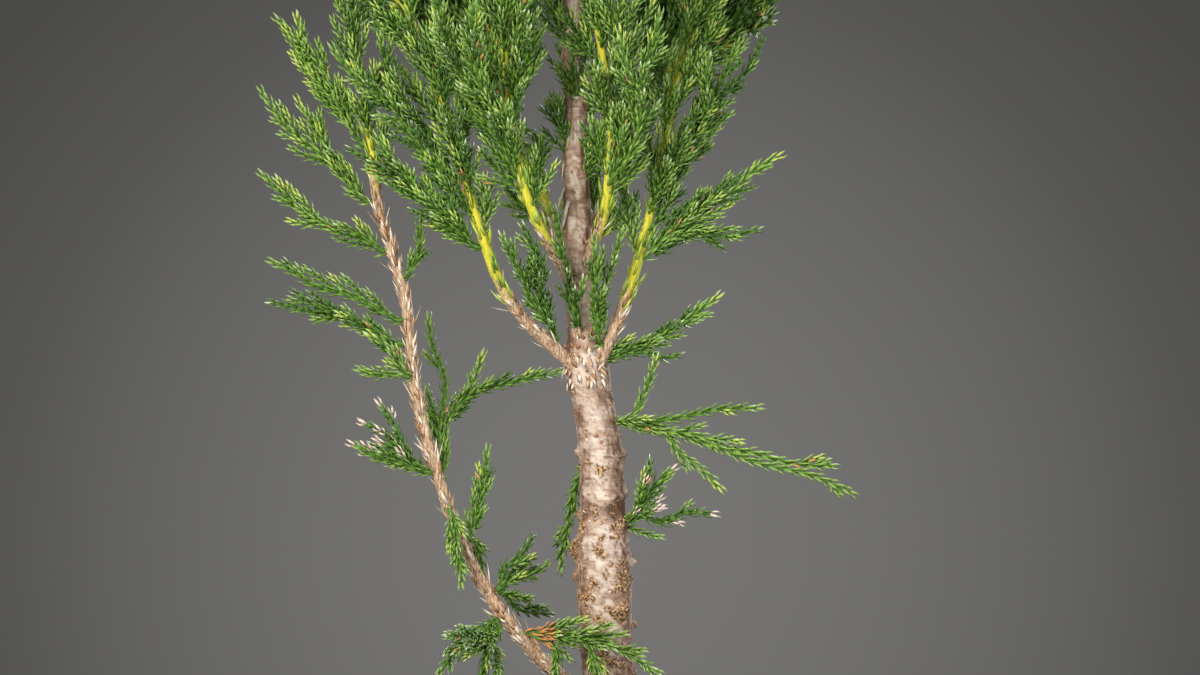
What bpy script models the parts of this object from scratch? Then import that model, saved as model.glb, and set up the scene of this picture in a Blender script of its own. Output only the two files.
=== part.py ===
"""A young columnar Chinese juniper in a plain nursery pot, about 0.65 m tall.

One trunk runs from a flat cut on the soil to its leader. Boughs leave it in whorls, and each
mass of foliage is one closed, uneven solid seated on the limb that carries it. Named sizes are
in millimetres. Heights are above the pot's underside, X is to the right as the plant is seen
from the front, and the front faces -Y.
"""

import math
from collections import namedtuple

import bmesh
import bpy
from mathutils import Vector

MM = 0.001
UP = Vector((0.0, 0.0, 1.0))

# Driving sizes of the pot and of the plant
POT_HEIGHT = 165.0
POT_TOP_RADIUS = 80.0
POT_BASE_RADIUS = 62.0
POT_WALL = 2.0
RIM_OVERHANG = 3.0
RIM_HEIGHT = 14.0
FLOOR_THICKNESS = 3.0
FOOT_LIFT = 2.5
FOOT_WIDTH = 10.0
DRAIN_HOLES = 5
DRAIN_RADIUS = 4.0
DRAIN_CIRCLE = 40.0

SOIL_HEIGHT = 150.0
SOIL_CROWN = 1.5
PLANT_TOP = 645.0
GAP = 0.3
MASS_GAP = 0.45

POT_STEPS = 24
LIMB_STEPS = 2
TRUNK_LEVEL = 2
BOUGH_LEVEL = 1
ROOM_LEVEL = 1
ROOM_SIDES = 4 + 2 * ROOM_LEVEL
LUMP = 0.16
LUMP_TURN = 1.7
SIDE_FINGER = 0.78
PLUME_WIDTH = 7.0

WELD = 0.002

MATERIALS = {
    "pot": ((0.022, 0.023, 0.025), 0.42),
    "soil": ((0.070, 0.043, 0.027), 0.95),
    "trunk": ((0.290, 0.180, 0.130), 0.80),
    "bough": ((0.480, 0.330, 0.190), 0.75),
    "foliage": ((0.075, 0.190, 0.050), 0.60),
}

# A limb's stations: place of its centre line and its radius there
TRUNK = (
    ((0.4, 0.0, SOIL_HEIGHT + GAP), 8.2),
    ((0.4, 0.0, 153.0), 7.4),
    ((0.2, 0.0, 160.0), 6.5),
    ((-1.2, 0.0, 180.0), 6.0),
    ((-2.9, 0.0, 202.0), 5.8),
    ((-3.3, 0.0, 219.0), 6.3),
    ((-3.5, 0.0, 234.0), 5.1),
    ((-4.6, 0.0, 249.0), 4.9),
    ((-6.0, 0.0, 257.0), 4.6),
    ((-7.2, 0.0, 263.5), 5.2),
    ((-8.0, 0.0, 271.0), 3.7),
    ((-8.8, 0.0, 285.0), 3.4),
    ((-9.4, 0.0, 301.0), 3.1),
    ((-9.8, 0.0, 327.0), 2.8),
    ((-10.0, 0.5, 347.0), 2.6),
    ((-9.2, 1.5, 400.0), 2.2),
    ((-8.6, 1.0, 460.0), 1.8),
    ((-7.6, 0.0, 520.0), 1.3),
    ((-7.0, 0.5, 575.0), 0.9),
)

BOUGHS = {
    "bough_low_left": (
        ((-2.9, 0.0, 186.0), 1.9),
        ((-13.1, -2.0, 195.0), 1.6),
        ((-20.8, -4.0, 202.5), 1.4),
        ((-28.7, -4.0, 213.3), 1.3),
        ((-34.5, -4.0, 224.0), 1.25),
        ((-40.9, -4.0, 242.0), 1.2),
        ((-45.4, -3.0, 260.0), 1.25),
        ((-47.4, -3.0, 280.0), 1.1),
        ((-53.4, -3.0, 298.5), 1.05),
        ((-54.7, -2.0, 312.0), 1.0),
        ((-57.0, -1.0, 323.6), 0.95),
    ),
    "bough_whorl_left": (
        ((-7.3, 0.0, 262.3), 1.7),
        ((-15.2, -5.0, 268.3), 1.5),
        ((-24.6, -9.0, 278.7), 1.25),
        ((-30.3, -10.0, 293.0), 1.15),
        ((-36.0, -9.0, 312.7), 1.05),
        ((-41.6, -6.0, 329.0), 0.95),
        ((-47.4, -3.0, 343.8), 0.85),
    ),
    "bough_upper_left": (
        ((-8.3, 0.0, 276.0), 1.35),
        ((-13.0, -8.0, 286.6), 1.2),
        ((-18.2, -12.0, 295.7), 1.1),
        ((-23.2, -14.0, 311.0), 1.0),
        ((-24.8, -14.0, 327.0), 0.95),
        ((-25.2, -12.0, 343.0), 0.85),
    ),
    "bough_upper_right": (
        ((-8.8, 0.0, 286.0), 1.35),
        ((-5.1, -6.0, 292.0), 1.2),
        ((-2.9, -9.5, 299.0), 1.1),
        ((-1.6, -12.0, 316.0), 1.0),
        ((-3.2, -12.5, 329.0), 0.9),
        ((-5.5, -12.5, 342.0), 0.85),
    ),
    "bough_whorl_right": (
        ((-6.0, 0.0, 263.2), 1.7),
        ((-2.3, -3.0, 269.0), 1.5),
        ((1.6, -4.0, 278.5), 1.25),
        ((5.4, -4.0, 291.5), 1.15),
        ((9.1, -3.0, 307.0), 1.0),
        ((12.6, 1.0, 327.0), 0.95),
        ((17.5, 4.0, 343.4), 0.85),
    ),
    "bough_back_left": (
        ((-8.6, 0.0, 278.0), 1.4),
        ((-11.5, 7.0, 288.0), 1.2),
        ((-16.0, 14.0, 299.0), 1.1),
        ((-20.5, 19.0, 310.0), 1.0),
    ),
    "bough_back_right": (
        ((-9.0, 0.0, 284.0), 1.4),
        ((-6.0, 7.0, 294.0), 1.2),
        ((-1.0, 14.0, 305.0), 1.1),
        ((3.5, 19.0, 315.0), 1.0),
    ),
}

# A finger of foliage: how far along the first finger it starts, its tip, and how far its
# middle is lifted off the straight line
Finger = namedtuple("Finger", "start tip bow")

# A mass: its name, its limb, the height where it is seated, its half width and half depth,
# and its fingers
Mass = namedtuple("Mass", "name limb seat width depth fingers")

LOW = "bough_low_left"
LOW_LEFT_MASSES = (
    Mass("low_fan_1", LOW, 289, 4.2, 3.0, (
        Finger(0.0, (-78.2, -7, 305.5), -1.5),
        Finger(0.30, (-73.2, -6, 296.8), -1.5),
        Finger(0.35, (-71.5, -5, 303.5), 0.5))),
    Mass("low_fan_2", LOW, 299, 4.2, 3.0, (
        Finger(0.0, (-78.4, -7, 323.8), -1.0),
        Finger(0.35, (-71.2, -6, 311.1), 0.0),
        Finger(0.25, (-70.8, -3, 321.9), 1.0))),
    Mass("low_fan_3", LOW, 311, 4.0, 3.0, (
        Finger(0.0, (-75.6, 1, 340.4), 0.0),
        Finger(0.30, (-65.9, -4, 332.0), 1.0),
        Finger(0.45, (-71.8, 3, 341.1), 0.5))),
    Mass("low_top", LOW, 323, 8.5, 7.0, (
        Finger(0.0, (-66.0, 3, 374.0), -2.0),
        Finger(0.30, (-71.5, -3, 355.0), -1.0))),
    Mass("low_spray_1", LOW, 273, 3.0, 2.2, (
        Finger(0.0, (-75.9, -8, 286.4), 1.5),)),
    Mass("low_spray_2", LOW, 268, 2.8, 2.2, (
        Finger(0.0, (-75.3, -12, 277.5), 1.2),
        Finger(0.42, (-70.6, -9, 279.6), 0.6),
        Finger(0.46, (-71.2, -13, 274.0), 0.0))),
    Mass("low_spray_3", LOW, 260, 2.4, 2.0, (
        Finger(0.0, (-54.5, -8, 270.4), 0.8),
        Finger(0.15, (-56.9, -4, 262.6), 0.4))),
    Mass("low_spray_4", LOW, 241, 3.2, 2.6, (
        Finger(0.0, (-58.0, -12, 246.5), 0.0),
        Finger(0.30, (-55.7, -9, 251.0), 0.5),
        Finger(0.15, (-52.5, -6, 254.9), 0.8))),
    Mass("low_spray_5", LOW, 283, 2.0, 1.8, (
        Finger(0.0, (-43.4, -7, 297.0), -2.6),)),
    Mass("low_spray_6", LOW, 238, 3.4, 3.0, (
        Finger(0.0, (-43.0, 15, 274.0), -1.5),
        Finger(0.30, (-31.1, 18, 265.6), -1.0),
        Finger(0.42, (-14.0, 20, 262.1), 2.0))),
    Mass("low_spray_7", LOW, 234, 2.3, 1.9, (
        Finger(0.0, (-34.6, -11, 216.3), 1.0),
        Finger(0.25, (-39.9, -11, 224.2), -0.5))),
    Mass("low_spray_8", LOW, 224, 2.8, 2.4, (
        Finger(0.0, (-29.6, 9, 244.3), -1.0),
        Finger(0.20, (-30.6, 6, 217.2), 0.0))),
    Mass("low_spray_9", LOW, 212, 2.8, 2.4, (
        Finger(0.0, (-19.7, 8, 224.6), -1.0),
        Finger(0.30, (-16.6, 9, 218.7), 0.0),
        Finger(0.10, (-15.9, 12, 207.6), 0.8))),
    Mass("skirt_left", LOW, 207, 4.6, 4.2, (
        Finger(0.0, (-38.7, -22, 197.9), 2.5),
        Finger(0.35, (-31.5, -17, 190.5), 1.0),
        Finger(0.25, (-24.6, -25, 192.0), 1.5),
        Finger(0.30, (-36.0, -39, 207.5), 3.0))),
    Mass("skirt_right", LOW, 204, 3.4, 3.0, (
        Finger(0.0, (8.2, -16, 197.3), 5.5),
        Finger(0.45, (6.5, -15, 203.5), 0.5),
        Finger(0.25, (-14.0, -11, 193.5), 0.5),
        Finger(0.50, (-4.2, -15, 191.5), 0.5))),
)

TRUNK_MASSES = (
    Mass("trunk_spray_1", "trunk", 264, 3.0, 2.4, (
        Finger(0.0, (21.3, -8, 278.7), -2.2),
        Finger(0.30, (12.5, -9, 266.0), 0.0))),
    Mass("trunk_spray_2", "trunk", 252, 3.2, 2.4, (
        Finger(0.0, (50.5, -12, 236.2), 4.0),
        Finger(0.12, (30.2, -7, 254.6), 0.6),
        Finger(0.20, (21.7, -13, 237.4), 0.8),
        Finger(0.08, (7.9, -9, 265.0), 0.0),
        Finger(0.55, (46.4, -8, 241.8), 0.6))),
    Mass("trunk_spray_3", "trunk", 229, 2.6, 2.2, (
        Finger(0.0, (20.2, -8, 231.2), 1.4),
        Finger(0.15, (11.7, -5, 240.8), -0.5),
        Finger(0.10, (6.8, -7, 242.2), -0.5))),
    Mass("trunk_spray_4", "trunk", 246, 2.6, 2.6, (
        Finger(0.0, (-13.1, 16, 217.9), 3.0),
        Finger(0.45, (-15.2, 12, 231.0), 0.0))),
    Mass("inner_left_1", "bough_whorl_left", 267, 3.0, 2.6, (
        Finger(0.0, (-25.1, -21, 291.5), 2.4),
        Finger(0.30, (-18.3, -18, 290.1), -1.0),
        Finger(0.50, (-20.6, -20, 293.5), 0.0))),
    Mass("inner_left_2", "trunk", 267, 2.8, 2.2, (
        Finger(0.0, (-14.0, -13, 297.0), -1.2),
        Finger(0.25, (-7.9, -12, 282.0), -0.5))),
    Mass("inner_right", "bough_whorl_right", 266, 2.6, 2.2, (
        Finger(0.0, (-5.5, -13, 290.4), -1.0),
        Finger(0.30, (0.6, -11, 292.5), -0.5))),
)

CROWN_MASSES = (
    Mass("whorl_left_fan_1", "bough_whorl_left", 289, 4.6, 3.2, (
        Finger(0.0, (-57.8, -18, 310.4), 0.5),
        Finger(0.25, (-45.6, -15, 312.4), 0.5),
        Finger(0.50, (-52.4, -21, 312.8), 0.5))),
    Mass("whorl_left_fan_2", "bough_whorl_left", 304, 5.0, 3.6, (
        Finger(0.0, (-61.5, -22, 332.0), -0.5),
        Finger(0.30, (-41.0, -20, 322.0), 0.0),
        Finger(0.35, (-53.0, -18, 339.0), 0.0))),
    Mass("whorl_left_top", "bough_whorl_left", 342, 14.0, 11.0, (
        Finger(0.0, (-70.0, -4, 416.0), -4.0),
        Finger(0.25, (-71.0, -21, 388.0), -2.0))),
    Mass("upper_left_fan_1", "bough_upper_left", 304, 5.4, 4.4, (
        Finger(0.0, (-41.0, -30, 346.0), -2.0),
        Finger(0.35, (-31.0, -32, 342.0), -1.0))),
    Mass("upper_left_fan_2", "bough_upper_left", 318, 4.6, 4.0, (
        Finger(0.0, (-14.0, -21, 350.0), -1.0),
        Finger(0.30, (-19.5, -27, 350.0), -1.0))),
    Mass("upper_left_top", "bough_upper_left", 341, 13.5, 11.0, (
        Finger(0.0, (-40.0, -42, 420.0), -5.0),
        Finger(0.30, (-54.0, -41, 398.0), -1.0))),
    Mass("upper_right_fan_1", "bough_upper_right", 302, 4.8, 4.2, (
        Finger(0.0, (8.5, -27, 339.0), -2.0),
        Finger(0.30, (0.0, -30, 335.0), -1.0))),
    Mass("upper_right_fan_2", "bough_upper_right", 322, 4.8, 4.0, (
        Finger(0.0, (7.5, -22, 358.0), -2.0),
        Finger(0.30, (-8.5, -27, 352.0), -1.0))),
    Mass("upper_right_top", "bough_upper_right", 340, 13.5, 11.0, (
        Finger(0.0, (2.0, -50, 416.0), -5.0),
        Finger(0.30, (18.0, -46, 392.0), -1.0))),
    Mass("whorl_right_fan_1", "bough_whorl_right", 287, 4.2, 3.2, (
        Finger(0.0, (34.6, -10, 309.6), 0.5),
        Finger(0.20, (29.9, -8, 293.6), -0.5),
        Finger(0.15, (25.5, -2, 304.9), 0.5))),
    Mass("whorl_right_fan_2", "bough_whorl_right", 300, 4.6, 3.6, (
        Finger(0.0, (32.0, 8, 336.4), 0.5),
        Finger(0.20, (26.6, 3, 335.5), 1.5),
        Finger(0.35, (19.7, -6, 331.3), 0.0))),
    Mass("whorl_right_top", "bough_whorl_right", 341, 13.5, 11.0, (
        Finger(0.0, (45.0, 6, 412.0), -5.0),
        Finger(0.25, (50.0, -14, 384.0), -2.0))),
    Mass("back_left_top", "bough_back_left", 308, 15.0, 11.0, (
        Finger(0.0, (-50.0, 48, 398.0), -5.0),
        Finger(0.30, (-64.0, 26, 366.0), -2.0),
        Finger(0.25, (-26.0, 54, 366.0), -2.0))),
    Mass("back_right_top", "bough_back_right", 313, 15.0, 11.0, (
        Finger(0.0, (29.0, 47, 402.0), -5.0),
        Finger(0.30, (47.0, 25, 372.0), -2.0),
        Finger(0.25, (4.0, 55, 372.0), -2.0))),
)

# A tier of the upper crown: seat height, length, reach off the trunk, half width, half depth,
# first bearing and the number of plumes round the trunk
Tier = namedtuple("Tier", "seat length reach width depth bearing count")
TIERS = (
    Tier(344, 106, 60, 16.0, 11.0, -40, 4),
    Tier(394, 102, 50, 16.0, 10.5, -80, 4),
    Tier(448, 98, 38, 15.0, 10.0, -30, 3),
    Tier(502, 88, 26, 12.5, 9.5, 25, 2),
)
TIER_STAGGER = 7.0
TIER_BOW = -8.0
SIDE_LOBE = 0.30


def smooth_route(stations, steps):
    """Points on a Catmull-Rom curve through the stations, each with its radius."""
    route = []
    last = len(stations) - 1
    for i in range(last):
        ends = [stations[max(0, min(last, i + k))] for k in (-1, 0, 1, 2)]
        for step in range(steps):
            t = step / steps
            weights = (
                (-t + 2 * t * t - t**3) / 2,
                (2 - 5 * t * t + 3 * t**3) / 2,
                (t + 4 * t * t - 3 * t**3) / 2,
                (-t * t + t**3) / 2,
            )
            place = Vector((0, 0, 0))
            radius = 0.0
            for weight, (point, width) in zip(weights, ends):
                place += weight * Vector(point)
                radius += weight * width
            route.append((place, radius))
    route.append((Vector(stations[-1][0]), stations[-1][1]))
    return route


def at_height(route, height):
    """The place and radius of a limb where it passes a height."""
    for (low, r_low), (high, r_high) in zip(route, route[1:]):
        if low.z <= height <= high.z:
            t = (height - low.z) / (high.z - low.z)
            return low.lerp(high, t), r_low + t * (r_high - r_low)
    return route[-1]


def add_to(collection, obj):
    for other in list(obj.users_collection):
        other.objects.unlink(obj)
    collection.objects.link(obj)
    return obj


def new_collection(name):
    collection = bpy.data.collections.new(name)
    bpy.context.scene.collection.children.link(collection)
    return collection


def plain_material(name):
    colour, roughness = MATERIALS[name]
    material = bpy.data.materials.new(name)
    material.use_nodes = True
    shader = material.node_tree.nodes["Principled BSDF"]
    shader.inputs["Base Color"].default_value = (*colour, 1.0)
    shader.inputs["Roughness"].default_value = roughness
    shader.inputs["Metallic"].default_value = 0.0
    material.diffuse_color = (*colour, 1.0)
    return material


def tube(name, route, level):
    """A limb as a curve of round section, welded into a mesh."""
    curve = bpy.data.curves.new(name, "CURVE")
    curve.dimensions = "3D"
    curve.bevel_depth = MM
    curve.bevel_resolution = level
    curve.use_fill_caps = True
    spline = curve.splines.new("POLY")
    spline.points.add(len(route) - 1)
    for point, (place, radius) in zip(spline.points, route):
        point.co = (*(place * MM), 1.0)
        point.radius = radius
    guide = bpy.data.objects.new(name + "_guide", curve)
    bpy.context.scene.collection.objects.link(guide)
    bpy.context.view_layer.update()
    seen = guide.evaluated_get(bpy.context.evaluated_depsgraph_get())
    mesh = bpy.data.meshes.new_from_object(seen)
    mesh.name = name
    bpy.data.objects.remove(guide)
    bpy.data.curves.remove(curve)
    bm = bmesh.new()
    bm.from_mesh(mesh)
    bmesh.ops.remove_doubles(bm, verts=bm.verts, dist=0.00001)
    bmesh.ops.recalc_face_normals(bm, faces=bm.faces)
    bmesh.ops.triangulate(bm, faces=bm.faces, quad_method="FIXED")
    bm.to_mesh(mesh)
    bm.free()
    return bpy.data.objects.new(name, mesh)


def bowed_middle(root, tip, bow):
    """The middle of a finger, lifted off its chord in the chord's own upright plane."""
    along = (tip - root).normalized()
    lift = (UP - along * along.dot(UP)).normalized()
    return (root + tip) / 2 + lift * bow


def finger_mesh(name, width, depth, root, tip, bow, around, along, phase):
    """A closed, lumpy blade of foliage: a sphere drawn out from its root to its tip."""
    root = Vector(root)
    tip = Vector(tip)
    front = Vector((0.0, -1.0, 0.0))
    middle = bowed_middle(root, tip, bow)
    bm = bmesh.new()
    bmesh.ops.create_uvsphere(bm, u_segments=around, v_segments=along, radius=1.0)
    for vert in bm.verts:
        polar = math.acos(max(-1.0, min(1.0, vert.co.z)))
        t = polar / math.pi
        turn = math.atan2(vert.co.y, vert.co.x)
        near_pole = math.sin(polar) < 1e-4
        place = root * (1 - t) ** 2 + (4 * middle - root - tip) * t * (1 - t) + tip * t * t
        along_route = (2 * (t - 1) * root + (1 - 2 * t) * (4 * middle - root - tip) + 2 * t * tip).normalized()
        across = along_route.cross(front).normalized()
        through = across.cross(along_route)
        fullness = 0.0 if near_pole else math.sin(math.pi * t**0.85) ** 0.75
        lump = 1 + LUMP * math.sin(3 * turn + 9 * t + phase) + LUMP * math.sin(2 * turn - 14 * t + 2 * phase)
        offset = across * width * math.cos(turn) + through * depth * math.sin(turn)
        vert.co = (place + offset * fullness * lump) * MM
    bmesh.ops.triangulate(bm, faces=bm.faces, quad_method="FIXED")
    bm.normal_update()
    mesh = bpy.data.meshes.new(name)
    bm.to_mesh(mesh)
    bm.free()
    return bpy.data.objects.new(name, mesh)


def on_finger(root, finger, t):
    """A point on the curve of a mass's first finger."""
    root = Vector(root)
    tip = Vector(finger.tip)
    middle = bowed_middle(root, tip, finger.bow)
    return root * (1 - t) ** 2 + (4 * middle - root - tip) * t * (1 - t) + tip * t * t


def box_of(obj):
    corners = [vert.co for vert in obj.data.vertices]
    low = Vector([min(c[k] for c in corners) for k in range(3)])
    high = Vector([max(c[k] for c in corners) for k in range(3)])
    return low, high


def boxes_meet(a, b):
    (low_a, high_a), (low_b, high_b) = box_of(a), box_of(b)
    return all(low_a[k] < high_b[k] and low_b[k] < high_a[k] for k in range(3))


def combine(obj, others, operation):
    """Apply one exact Boolean after another, and keep the result as the object's mesh."""
    for other in others:
        change = obj.modifiers.new(other.name, "BOOLEAN")
        change.operation = operation
        change.object = other
        change.solver = "EXACT"
    bpy.context.view_layer.update()
    seen = obj.evaluated_get(bpy.context.evaluated_depsgraph_get())
    mesh = bpy.data.meshes.new_from_object(seen)
    obj.modifiers.clear()
    old = obj.data
    obj.data = mesh
    bpy.data.meshes.remove(old)
    mesh.name = obj.name


def keep_largest(obj):
    """A mass cut by its neighbours keeps its main piece."""
    bm = bmesh.new()
    bm.from_mesh(obj.data)
    left = set(bm.faces)
    pieces = []
    while left:
        piece = set()
        edge = [left.pop()]
        while edge:
            face = edge.pop()
            piece.add(face)
            for side in face.edges:
                for other in side.link_faces:
                    if other in left:
                        left.remove(other)
                        edge.append(other)
        pieces.append(piece)
    pieces.sort(key=lambda piece: sum(face.calc_area() for face in piece), reverse=True)
    for piece in pieces[1:]:
        bmesh.ops.delete(bm, geom=list(piece), context="FACES")
    bm.to_mesh(obj.data)
    bm.free()


def as_cutter(obj, cutters):
    cutters.objects.link(obj)
    obj.hide_render = True
    obj.display_type = "WIRE"
    return obj


def turned(name, profile, steps):
    """A solid turned round the pot's axis from a profile in millimetres."""
    mesh = bpy.data.meshes.new(name)
    mesh.from_pydata(
        [(r * MM, 0.0, z * MM) for r, z in profile],
        [(i, i + 1) for i in range(len(profile) - 1)],
        [],
    )
    obj = bpy.data.objects.new(name, mesh)
    screw = obj.modifiers.new("turn", "SCREW")
    screw.steps = steps
    screw.render_steps = steps
    screw.use_merge_vertices = True
    screw.merge_threshold = 0.00001
    screw.use_smooth_shade = False
    return obj


def pot_wall_radius(height):
    return POT_BASE_RADIUS + (POT_TOP_RADIUS - POT_BASE_RADIUS) * height / POT_HEIGHT


def make_pot(parts, cutters):
    """Nursery pot: tapered wall, turned-out rim, standing ring and drain holes."""
    inner_floor = pot_wall_radius(FOOT_LIFT + FLOOR_THICKNESS) - POT_WALL
    rim_low = POT_HEIGHT - RIM_HEIGHT
    rim_radius = POT_TOP_RADIUS + RIM_OVERHANG
    profile = (
        (0.0, FOOT_LIFT + FLOOR_THICKNESS),
        (inner_floor, FOOT_LIFT + FLOOR_THICKNESS),
        (POT_TOP_RADIUS - POT_WALL, POT_HEIGHT - 1.0),
        (POT_TOP_RADIUS - POT_WALL + 1.0, POT_HEIGHT),
        (rim_radius - 1.2, POT_HEIGHT),
        (rim_radius, POT_HEIGHT - 1.2),
        (rim_radius - 0.6, rim_low),
        (pot_wall_radius(rim_low) + 0.2, rim_low),
        (pot_wall_radius(3.0), 3.0),
        (POT_BASE_RADIUS - 1.5, 0.0),
        (POT_BASE_RADIUS - FOOT_WIDTH, 0.0),
        (POT_BASE_RADIUS - FOOT_WIDTH - 2.0, FOOT_LIFT),
        (0.0, FOOT_LIFT),
    )
    pot = add_to(parts, turned("pot", profile, POT_STEPS))
    for i in range(DRAIN_HOLES):
        angle = 2 * math.pi * i / DRAIN_HOLES
        bpy.ops.mesh.primitive_cylinder_add(
            vertices=10,
            radius=DRAIN_RADIUS * MM,
            depth=4 * FLOOR_THICKNESS * MM,
            location=(
                DRAIN_CIRCLE * MM * math.cos(angle),
                DRAIN_CIRCLE * MM * math.sin(angle),
                FLOOR_THICKNESS * MM,
            ),
        )
        drill = add_to(cutters, bpy.context.object)
        drill.name = f"drain_{i + 1}"
        drill.hide_render = True
        drill.display_type = "WIRE"
        hole = pot.modifiers.new(f"drain_{i + 1}", "BOOLEAN")
        hole.operation = "DIFFERENCE"
        hole.object = drill
        hole.solver = "EXACT"
    return pot


def make_soil(parts):
    """The root ball's compost fills the pot to a hand's breadth of watering space."""
    floor = FOOT_LIFT + FLOOR_THICKNESS + GAP
    side = POT_WALL + GAP
    profile = (
        (0.0, SOIL_HEIGHT),
        (12.0, SOIL_HEIGHT),
        (34.0, SOIL_HEIGHT - 0.4),
        (55.0, SOIL_HEIGHT - SOIL_CROWN),
        (pot_wall_radius(SOIL_HEIGHT - 2.5) - side - 0.4, SOIL_HEIGHT - 2.5),
        (pot_wall_radius(SOIL_HEIGHT - 4.0) - side - 0.4, SOIL_HEIGHT - 4.0),
        (pot_wall_radius(floor) - side - 0.4, floor),
        (0.0, floor),
    )
    return add_to(parts, turned("soil", profile, POT_STEPS))


def room_for(name, stations, cutters):
    """A coarse tube that stands off a limb by the gap, also past its end, to cut masses with."""
    route = smooth_route(stations, 1)
    (before, _), (end, radius) = route[-2:]
    route[-1] = (end + (end - before).normalized() * 2 * GAP, radius)
    corner = 1 / math.cos(math.pi / ROOM_SIDES)
    wide = [(place, (width + 2 * GAP) * corner) for place, width in route]
    return as_cutter(tube(name + "_room", wide, ROOM_LEVEL), cutters)


def make_limbs(parts, cutters):
    """The trunk and the boughs, each bough cut off the gap short of the trunk."""
    routes = {"trunk": smooth_route(TRUNK, LIMB_STEPS)}
    rooms = {"trunk": room_for("trunk", TRUNK, cutters)}
    parts.objects.link(tube("trunk", routes["trunk"], TRUNK_LEVEL))
    trunk_skin = [(place, radius + GAP) for place, radius in routes["trunk"]]
    saw = as_cutter(tube("saw", trunk_skin, TRUNK_LEVEL), cutters)
    for name, stations in BOUGHS.items():
        routes[name] = smooth_route(stations, LIMB_STEPS)
        bough = tube(name, routes[name], BOUGH_LEVEL)
        parts.objects.link(bough)
        combine(bough, [saw], "DIFFERENCE")
        keep_largest(bough)
        rooms[name] = room_for(name, stations, cutters)
    return routes, rooms


def seat_of(mass, routes):
    """Where a mass starts: just under its limb's skin, on the side that it grows from."""
    centre, radius = at_height(routes[mass.limb], mass.seat)
    outward = (Vector(mass.fingers[0].tip) - centre).normalized()
    return centre + outward * max(0.0, radius - 1.2)


def make_mass(mass, number, root, parts, cutters):
    """One mass: its fingers joined into one closed body, and the room each of them needs."""
    body = None
    lobes = []
    rooms = []
    for i, finger in enumerate(mass.fingers):
        start = root if i == 0 else on_finger(root, mass.fingers[0], finger.start)
        scale = 1.0 if i == 0 else SIDE_FINGER
        around = 5 if i == 0 else 4
        if mass.width > PLUME_WIDTH:
            around += 1
        along = 6 if i == 0 else 3
        name = mass.name if i == 0 else f"{mass.name}_finger_{i + 1}"
        shape = (start, finger.tip, finger.bow, around, along, LUMP_TURN * number + i)
        solid = finger_mesh(name, mass.width * scale, mass.depth * scale, *shape)
        room = finger_mesh(
            name + "_room",
            mass.width * scale + MASS_GAP,
            mass.depth * scale + MASS_GAP,
            *shape,
        )
        rooms.append(as_cutter(room, cutters))
        if i == 0:
            body = solid
            parts.objects.link(body)
        else:
            lobes.append(as_cutter(solid, cutters))
    if lobes:
        combine(body, lobes, "UNION")
    return body, rooms


def tier_masses(routes):
    """The upper crown: plumes seated round the trunk in staggered tiers, and the leader's own."""
    masses = []
    for row, tier in enumerate(TIERS):
        for i in range(tier.count):
            bearing = math.radians(tier.bearing + 360.0 * i / tier.count)
            seat = tier.seat + TIER_STAGGER * i
            centre, _ = at_height(routes["trunk"], seat)
            out = Vector((math.cos(bearing), math.sin(bearing), 0.0))
            side = Vector((-out.y, out.x, 0.0))
            tip = centre + out * tier.reach + Vector((0, 0, tier.length))
            lobe = centre + out * (tier.reach * 0.8) + side * tier.width * 1.2
            lobe = lobe + Vector((0, 0, tier.length * 0.72))
            fingers = (
                Finger(0.0, tuple(tip), TIER_BOW),
                Finger(SIDE_LOBE, tuple(lobe), 0.0),
            )
            name = f"crown_{row + 1}_{'abcd'[i]}"
            masses.append(Mass(name, "trunk", seat, tier.width, tier.depth, fingers))
    leader, _ = at_height(routes["trunk"], 552.0)
    top = Finger(0.0, (leader.x - 1.0, leader.y, PLANT_TOP), 0.0)
    masses.append(Mass("leader", "trunk", 552, 10.5, 9.0, (
        top,
        Finger(0.2, (leader.x + 14.0, leader.y - 6.0, PLANT_TOP - 34.0), 0.0),
        Finger(0.2, (leader.x - 13.0, leader.y + 8.0, PLANT_TOP - 40.0), 0.0))))
    return masses


def make_foliage(parts, cutters, routes, limb_rooms):
    """Every mass, cut round the limbs and round the masses made before it."""
    masses = [*TRUNK_MASSES, *LOW_LEFT_MASSES, *CROWN_MASSES, *tier_masses(routes)]
    made = []
    for number, mass in enumerate(masses):
        body, rooms = make_mass(mass, number, seat_of(mass, routes), parts, cutters)
        near = [room for room in limb_rooms.values() if boxes_meet(body, room)]
        near += [room for room in made if boxes_meet(body, room)]
        if near:
            combine(body, near, "DIFFERENCE")
            keep_largest(body)
        made += rooms


def dress(parts):
    """Each part gets its material; round turned parts are shaded smooth."""
    made = {name: plain_material(name) for name in MATERIALS}
    for obj in parts.objects:
        kind = obj.name if obj.name in made else "foliage"
        if obj.name.startswith("bough"):
            kind = "bough"
        obj.data.materials.clear()
        obj.data.materials.append(made[kind])
        if kind in ("trunk", "bough"):
            obj.data.shade_smooth()


def main():
    for obj in list(bpy.data.objects):
        bpy.data.objects.remove(obj)
    parts = new_collection("potted_juniper")
    cutters = new_collection("cutters")
    make_pot(parts, cutters)
    make_soil(parts)
    routes, limb_rooms = make_limbs(parts, cutters)
    make_foliage(parts, cutters, routes, limb_rooms)
    dress(parts)


main()
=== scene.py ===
# %% [markdown]
# # A potted columnar juniper
# A young juniper in a nursery pot, seen close to its lower stem and the foot of its crown. The
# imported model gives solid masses; here each becomes twigs and needles grown on from the limbs.

# %% Load the frame
import heapq
import math
import random
from collections import namedtuple
from functools import partial

import bmesh
import bpy
import numpy as np
from mathutils import Euler, Matrix, Vector, noise
from mathutils.bvhtree import BVHTree


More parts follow.
